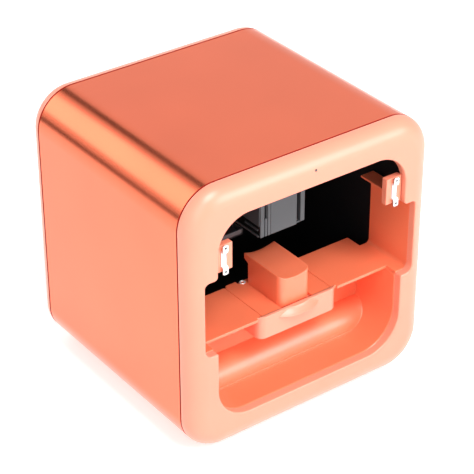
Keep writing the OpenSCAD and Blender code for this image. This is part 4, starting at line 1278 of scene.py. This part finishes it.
def make_floor():
    """A plain pale floor. Camera, glossy and transmission rays see it raised to white, and it
    keeps the object's shadow."""
    material = bpy.data.materials.new("Pale floor")
    material.use_nodes = True
    tree = material.node_tree
    shader = tree.nodes["Principled BSDF"]
    shader.inputs["Base Color"].default_value = (FLOOR_GREY, FLOOR_GREY, FLOOR_GREY, 1)
    shader.inputs["Roughness"].default_value = 0.9
    shader.inputs["Specular IOR Level"].default_value = 0.1
    camera_rays, mirrored_rays = seen_rays(tree)
    seen = math_operation(tree, "MULTIPLY", camera_rays, FLOOR_SEEN)
    reflected = math_operation(tree, "MULTIPLY", mirrored_rays, FLOOR_REFLECTED)
    lift = math_operation(tree, "MAXIMUM", seen, reflected)
    glow = tree.nodes.new("ShaderNodeCombineColor")
    for socket in glow.inputs:
        tree.links.new(lift, socket)
    tree.links.new(glow.outputs["Color"], shader.inputs["Emission Color"])
    shader.inputs["Emission Strength"].default_value = 1.0
    mesh = bpy.data.meshes.new("Floor")
    corners = [(a * FLOOR_HALF, b * FLOOR_HALF, 0) for a, b in SQUARE]
    mesh.from_pydata(corners, [], [(0, 1, 2, 3)])
    mesh.materials.append(material)
    floor = bpy.data.objects.new("Floor", mesh)
    bpy.context.scene.collection.objects.link(floor)


def make_world():
    """A pale room: white to the camera and in reflections, softer as light on the object."""
    world = bpy.data.worlds.new("Studio")
    bpy.context.scene.world = world
    world.use_nodes = True
    tree = world.node_tree
    seen = math_operation(tree, "MAXIMUM", *seen_rays(tree))
    strength = tree.nodes.new("ShaderNodeMapRange")
    strength.inputs["To Min"].default_value = ROOM_LIGHT
    strength.inputs["To Max"].default_value = 1.0
    tree.links.new(seen, strength.inputs["Value"])
    tree.links.new(strength.outputs["Result"], tree.nodes["Background"].inputs["Strength"])
    tree.nodes["Background"].inputs["Color"].default_value = (1, 1, 1, 1)


LAMPS = (
    # name, direction to the lamp, distance, side and power
    ("Key_softbox", (0.46, -0.83, 0.31), 1.8, 0.8, 17.0),
    ("High_softbox", (-0.04, -0.55, 0.83), 1.8, 0.7, 24.0),
    ("Left_softbox", (-0.93, -0.12, 0.35), 1.8, 1.2, 9.0),
    ("Side_softbox", (-0.50, -0.76, 0.42), 1.8, 1.0, 8.0),
    ("Rear_softbox", (-0.473, 0.683, 0.556), 2.0, 1.25, 9.0),
    ("Rear_fill", (0.45, 0.85, 0.27), 2.2, 1.2, 22.0),
)
# Lamps kept out of reflections, where they would show as pale patches on the sleeve
UNREFLECTED = ("Left_softbox", "Rear_fill")
FLAGS = (
    # name, direction from the housing's long upper edge, distance, width and length
    ("Upper_flag", (0.172, 0.683, 0.710), 2.5, 0.50, 1.6),
    ("Lower_flag", (-0.730, 0.683, -0.018), 2.5, 0.42, 1.6),
)


def make_flag(name, direction, distance, width, length):
    """A black card that only reflections see: it draws a dark line along the sleeve's rounded
    edge. Its width runs the way the reflection travels as the edge turns."""
    material = bpy.data.materials.new(name)
    material.use_nodes = True
    shader = material.node_tree.nodes["Principled BSDF"]
    shader.inputs["Base Color"].default_value = (0, 0, 0, 1)
    shader.inputs["Specular IOR Level"].default_value = 0
    ahead = Vector(direction).normalized()
    travel = Vector((-ahead.z, 0, ahead.x)).normalized() * width / 2
    across = ahead.cross(travel).normalized() * length / 2
    centre = Vector(UPPER_EDGE) + ahead * distance
    corners = [centre + travel * a + across * b for a, b in SQUARE]
    mesh = bpy.data.meshes.new(name)
    mesh.from_pydata([tuple(corner) for corner in corners], [], [(0, 1, 2, 3)])
    mesh.materials.append(material)
    flag = bpy.data.objects.new(name, mesh)
    flag.visible_camera = False
    flag.visible_diffuse = False
    flag.visible_shadow = False
    bpy.context.scene.collection.objects.link(flag)


def make_stage():
    """The camera, the floor, the world, area lamps aimed at the printer's middle, and the flags."""
    scene = bpy.context.scene
    scene.view_settings.view_transform = "Standard"
    make_camera()
    make_floor()
    make_world()
    aim = Vector(AIM)
    for name, direction, distance, side, power in LAMPS:
        light = bpy.data.lights.new(name, "AREA")
        light.size = side
        light.energy = power
        lamp = bpy.data.objects.new(name, light)
        lamp.location = aim + Vector(direction).normalized() * distance
        lamp.rotation_euler = (aim - lamp.location).to_track_quat("-Z", "Y").to_euler()
        lamp.visible_camera = False
        lamp.visible_glossy = name not in UNREFLECTED
        scene.collection.objects.link(lamp)
    for flag in FLAGS:
        make_flag(*flag)


# ---- operators ----

class PRINTER_OT_stage(bpy.types.Operator):
    """Add the camera, the floor, the world and the lamps"""
    bl_idname = "printer.stage"
    bl_label = "Stage"
    bl_options = {"REGISTER", "UNDO"}

    def execute(self, context):
        make_stage()
        return {"FINISHED"}


class PRINTER_OT_sleeve(bpy.types.Operator):
    """Make the metallic sleeve"""
    bl_idname = "printer.sleeve"
    bl_label = "Sleeve"
    bl_options = {"REGISTER", "UNDO"}

    def execute(self, context):
        make_sleeve()
        return {"FINISHED"}


class PRINTER_OT_bezel(bpy.types.Operator):
    """Make the front bezel and its status lamp"""
    bl_idname = "printer.bezel"
    bl_label = "Bezel"
    bl_options = {"REGISTER", "UNDO"}

    def execute(self, context):
        make_bezel()
        return {"FINISHED"}


class PRINTER_OT_cover(bpy.types.Operator):
    """Make the rear cover with its vents and socket holes"""
    bl_idname = "printer.cover"
    bl_label = "Rear cover"
    bl_options = {"REGISTER", "UNDO"}

    def execute(self, context):
        make_cover()
        return {"FINISHED"}


class PRINTER_OT_shelf(bpy.types.Operator):
    """Make the shelf, its niches, its middle plate and the eyelets"""
    bl_idname = "printer.shelf"
    bl_label = "Shelf"
    bl_options = {"REGISTER", "UNDO"}

    def execute(self, context):
        make_shelf()
        make_centre_plate()
        make_eyelets()
        return {"FINISHED"}


class PRINTER_OT_palm_rest(bpy.types.Operator):
    """Make the palm rest with its step and roll"""
    bl_idname = "printer.palm_rest"
    bl_label = "Palm rest"
    bl_options = {"REGISTER", "UNDO"}

    def execute(self, context):
        make_palm_rest()
        return {"FINISHED"}


class PRINTER_OT_lift(bpy.types.Operator):
    """Make the lift housing and the finger rest"""
    bl_idname = "printer.lift"
    bl_label = "Finger lift"
    bl_options = {"REGISTER", "UNDO"}

    def execute(self, context):
        make_lift()
        return {"FINISHED"}


class PRINTER_OT_catches(bpy.types.Operator):
    """Make the two magnetic catches"""
    bl_idname = "printer.catches"
    bl_label = "Catches"
    bl_options = {"REGISTER", "UNDO"}

    def execute(self, context):
        make_catches()
        return {"FINISHED"}


class PRINTER_OT_carriage(bpy.types.Operator):
    """Make the carriage, the cartridge and its latch"""
    bl_idname = "printer.carriage"
    bl_label = "Carriage"
    bl_options = {"REGISTER", "UNDO"}

    def execute(self, context):
        make_carriage()
        return {"FINISHED"}


class PRINTER_OT_station(bpy.types.Operator):
    """Make the service station's tray"""
    bl_idname = "printer.station"
    bl_label = "Service station"
    bl_options = {"REGISTER", "UNDO"}

    def execute(self, context):
        make_station()
        return {"FINISHED"}


class PRINTER_OT_button(bpy.types.Operator):
    """Make the power button"""
    bl_idname = "printer.button"
    bl_label = "Power button"
    bl_options = {"REGISTER", "UNDO"}

    def execute(self, context):
        make_button()
        return {"FINISHED"}


class PRINTER_OT_mechanism(bpy.types.Operator):
    """Give the frame's own pieces their finishes"""
    bl_idname = "printer.mechanism"
    bl_label = "Mechanism"
    bl_options = {"REGISTER", "UNDO"}

    def execute(self, context):
        finish_mechanism()
        return {"FINISHED"}


OPERATORS = (
    PRINTER_OT_stage, PRINTER_OT_sleeve, PRINTER_OT_bezel, PRINTER_OT_cover, PRINTER_OT_shelf,
    PRINTER_OT_palm_rest, PRINTER_OT_lift, PRINTER_OT_catches, PRINTER_OT_carriage,
    PRINTER_OT_station, PRINTER_OT_button, PRINTER_OT_mechanism,
)


class PRINTER_PT_panel(bpy.types.Panel):
    """Lists the printer's pieces, sizes and colours"""
    bl_label = "Nail printer"
    bl_space_type = "VIEW_3D"
    bl_region_type = "UI"
    bl_category = "Nail printer"

    def draw(self, context):
        for made in OPERATORS:
            self.layout.operator(made.bl_idname)
        for name in PrinterSizes.__annotations__:
            self.layout.prop(context.scene.printer_sizes, name)
        for name in PrinterColours.__annotations__:
            self.layout.prop(context.scene.printer_colours, name)


CLASSES = (PrinterSizes, PrinterColours, *OPERATORS, PRINTER_PT_panel)


def register():
    for made in CLASSES:
        bpy.utils.register_class(made)
    bpy.types.Scene.printer_sizes = PointerProperty(type=PrinterSizes)
    bpy.types.Scene.printer_colours = PointerProperty(type=PrinterColours)


def unregister():
    del bpy.types.Scene.printer_colours
    del bpy.types.Scene.printer_sizes
    for made in reversed(CLASSES):
        bpy.utils.unregister_class(made)


def main():
    register()
    bpy.ops.printer.stage()
    bpy.ops.printer.sleeve()
    bpy.ops.printer.bezel()
    bpy.ops.printer.cover()
    bpy.ops.printer.shelf()
    bpy.ops.printer.palm_rest()
    bpy.ops.printer.lift()
    bpy.ops.printer.catches()
    bpy.ops.printer.carriage()
    bpy.ops.printer.station()
    bpy.ops.printer.button()
    bpy.ops.printer.mechanism()


if __name__ == "__main__":
    main()
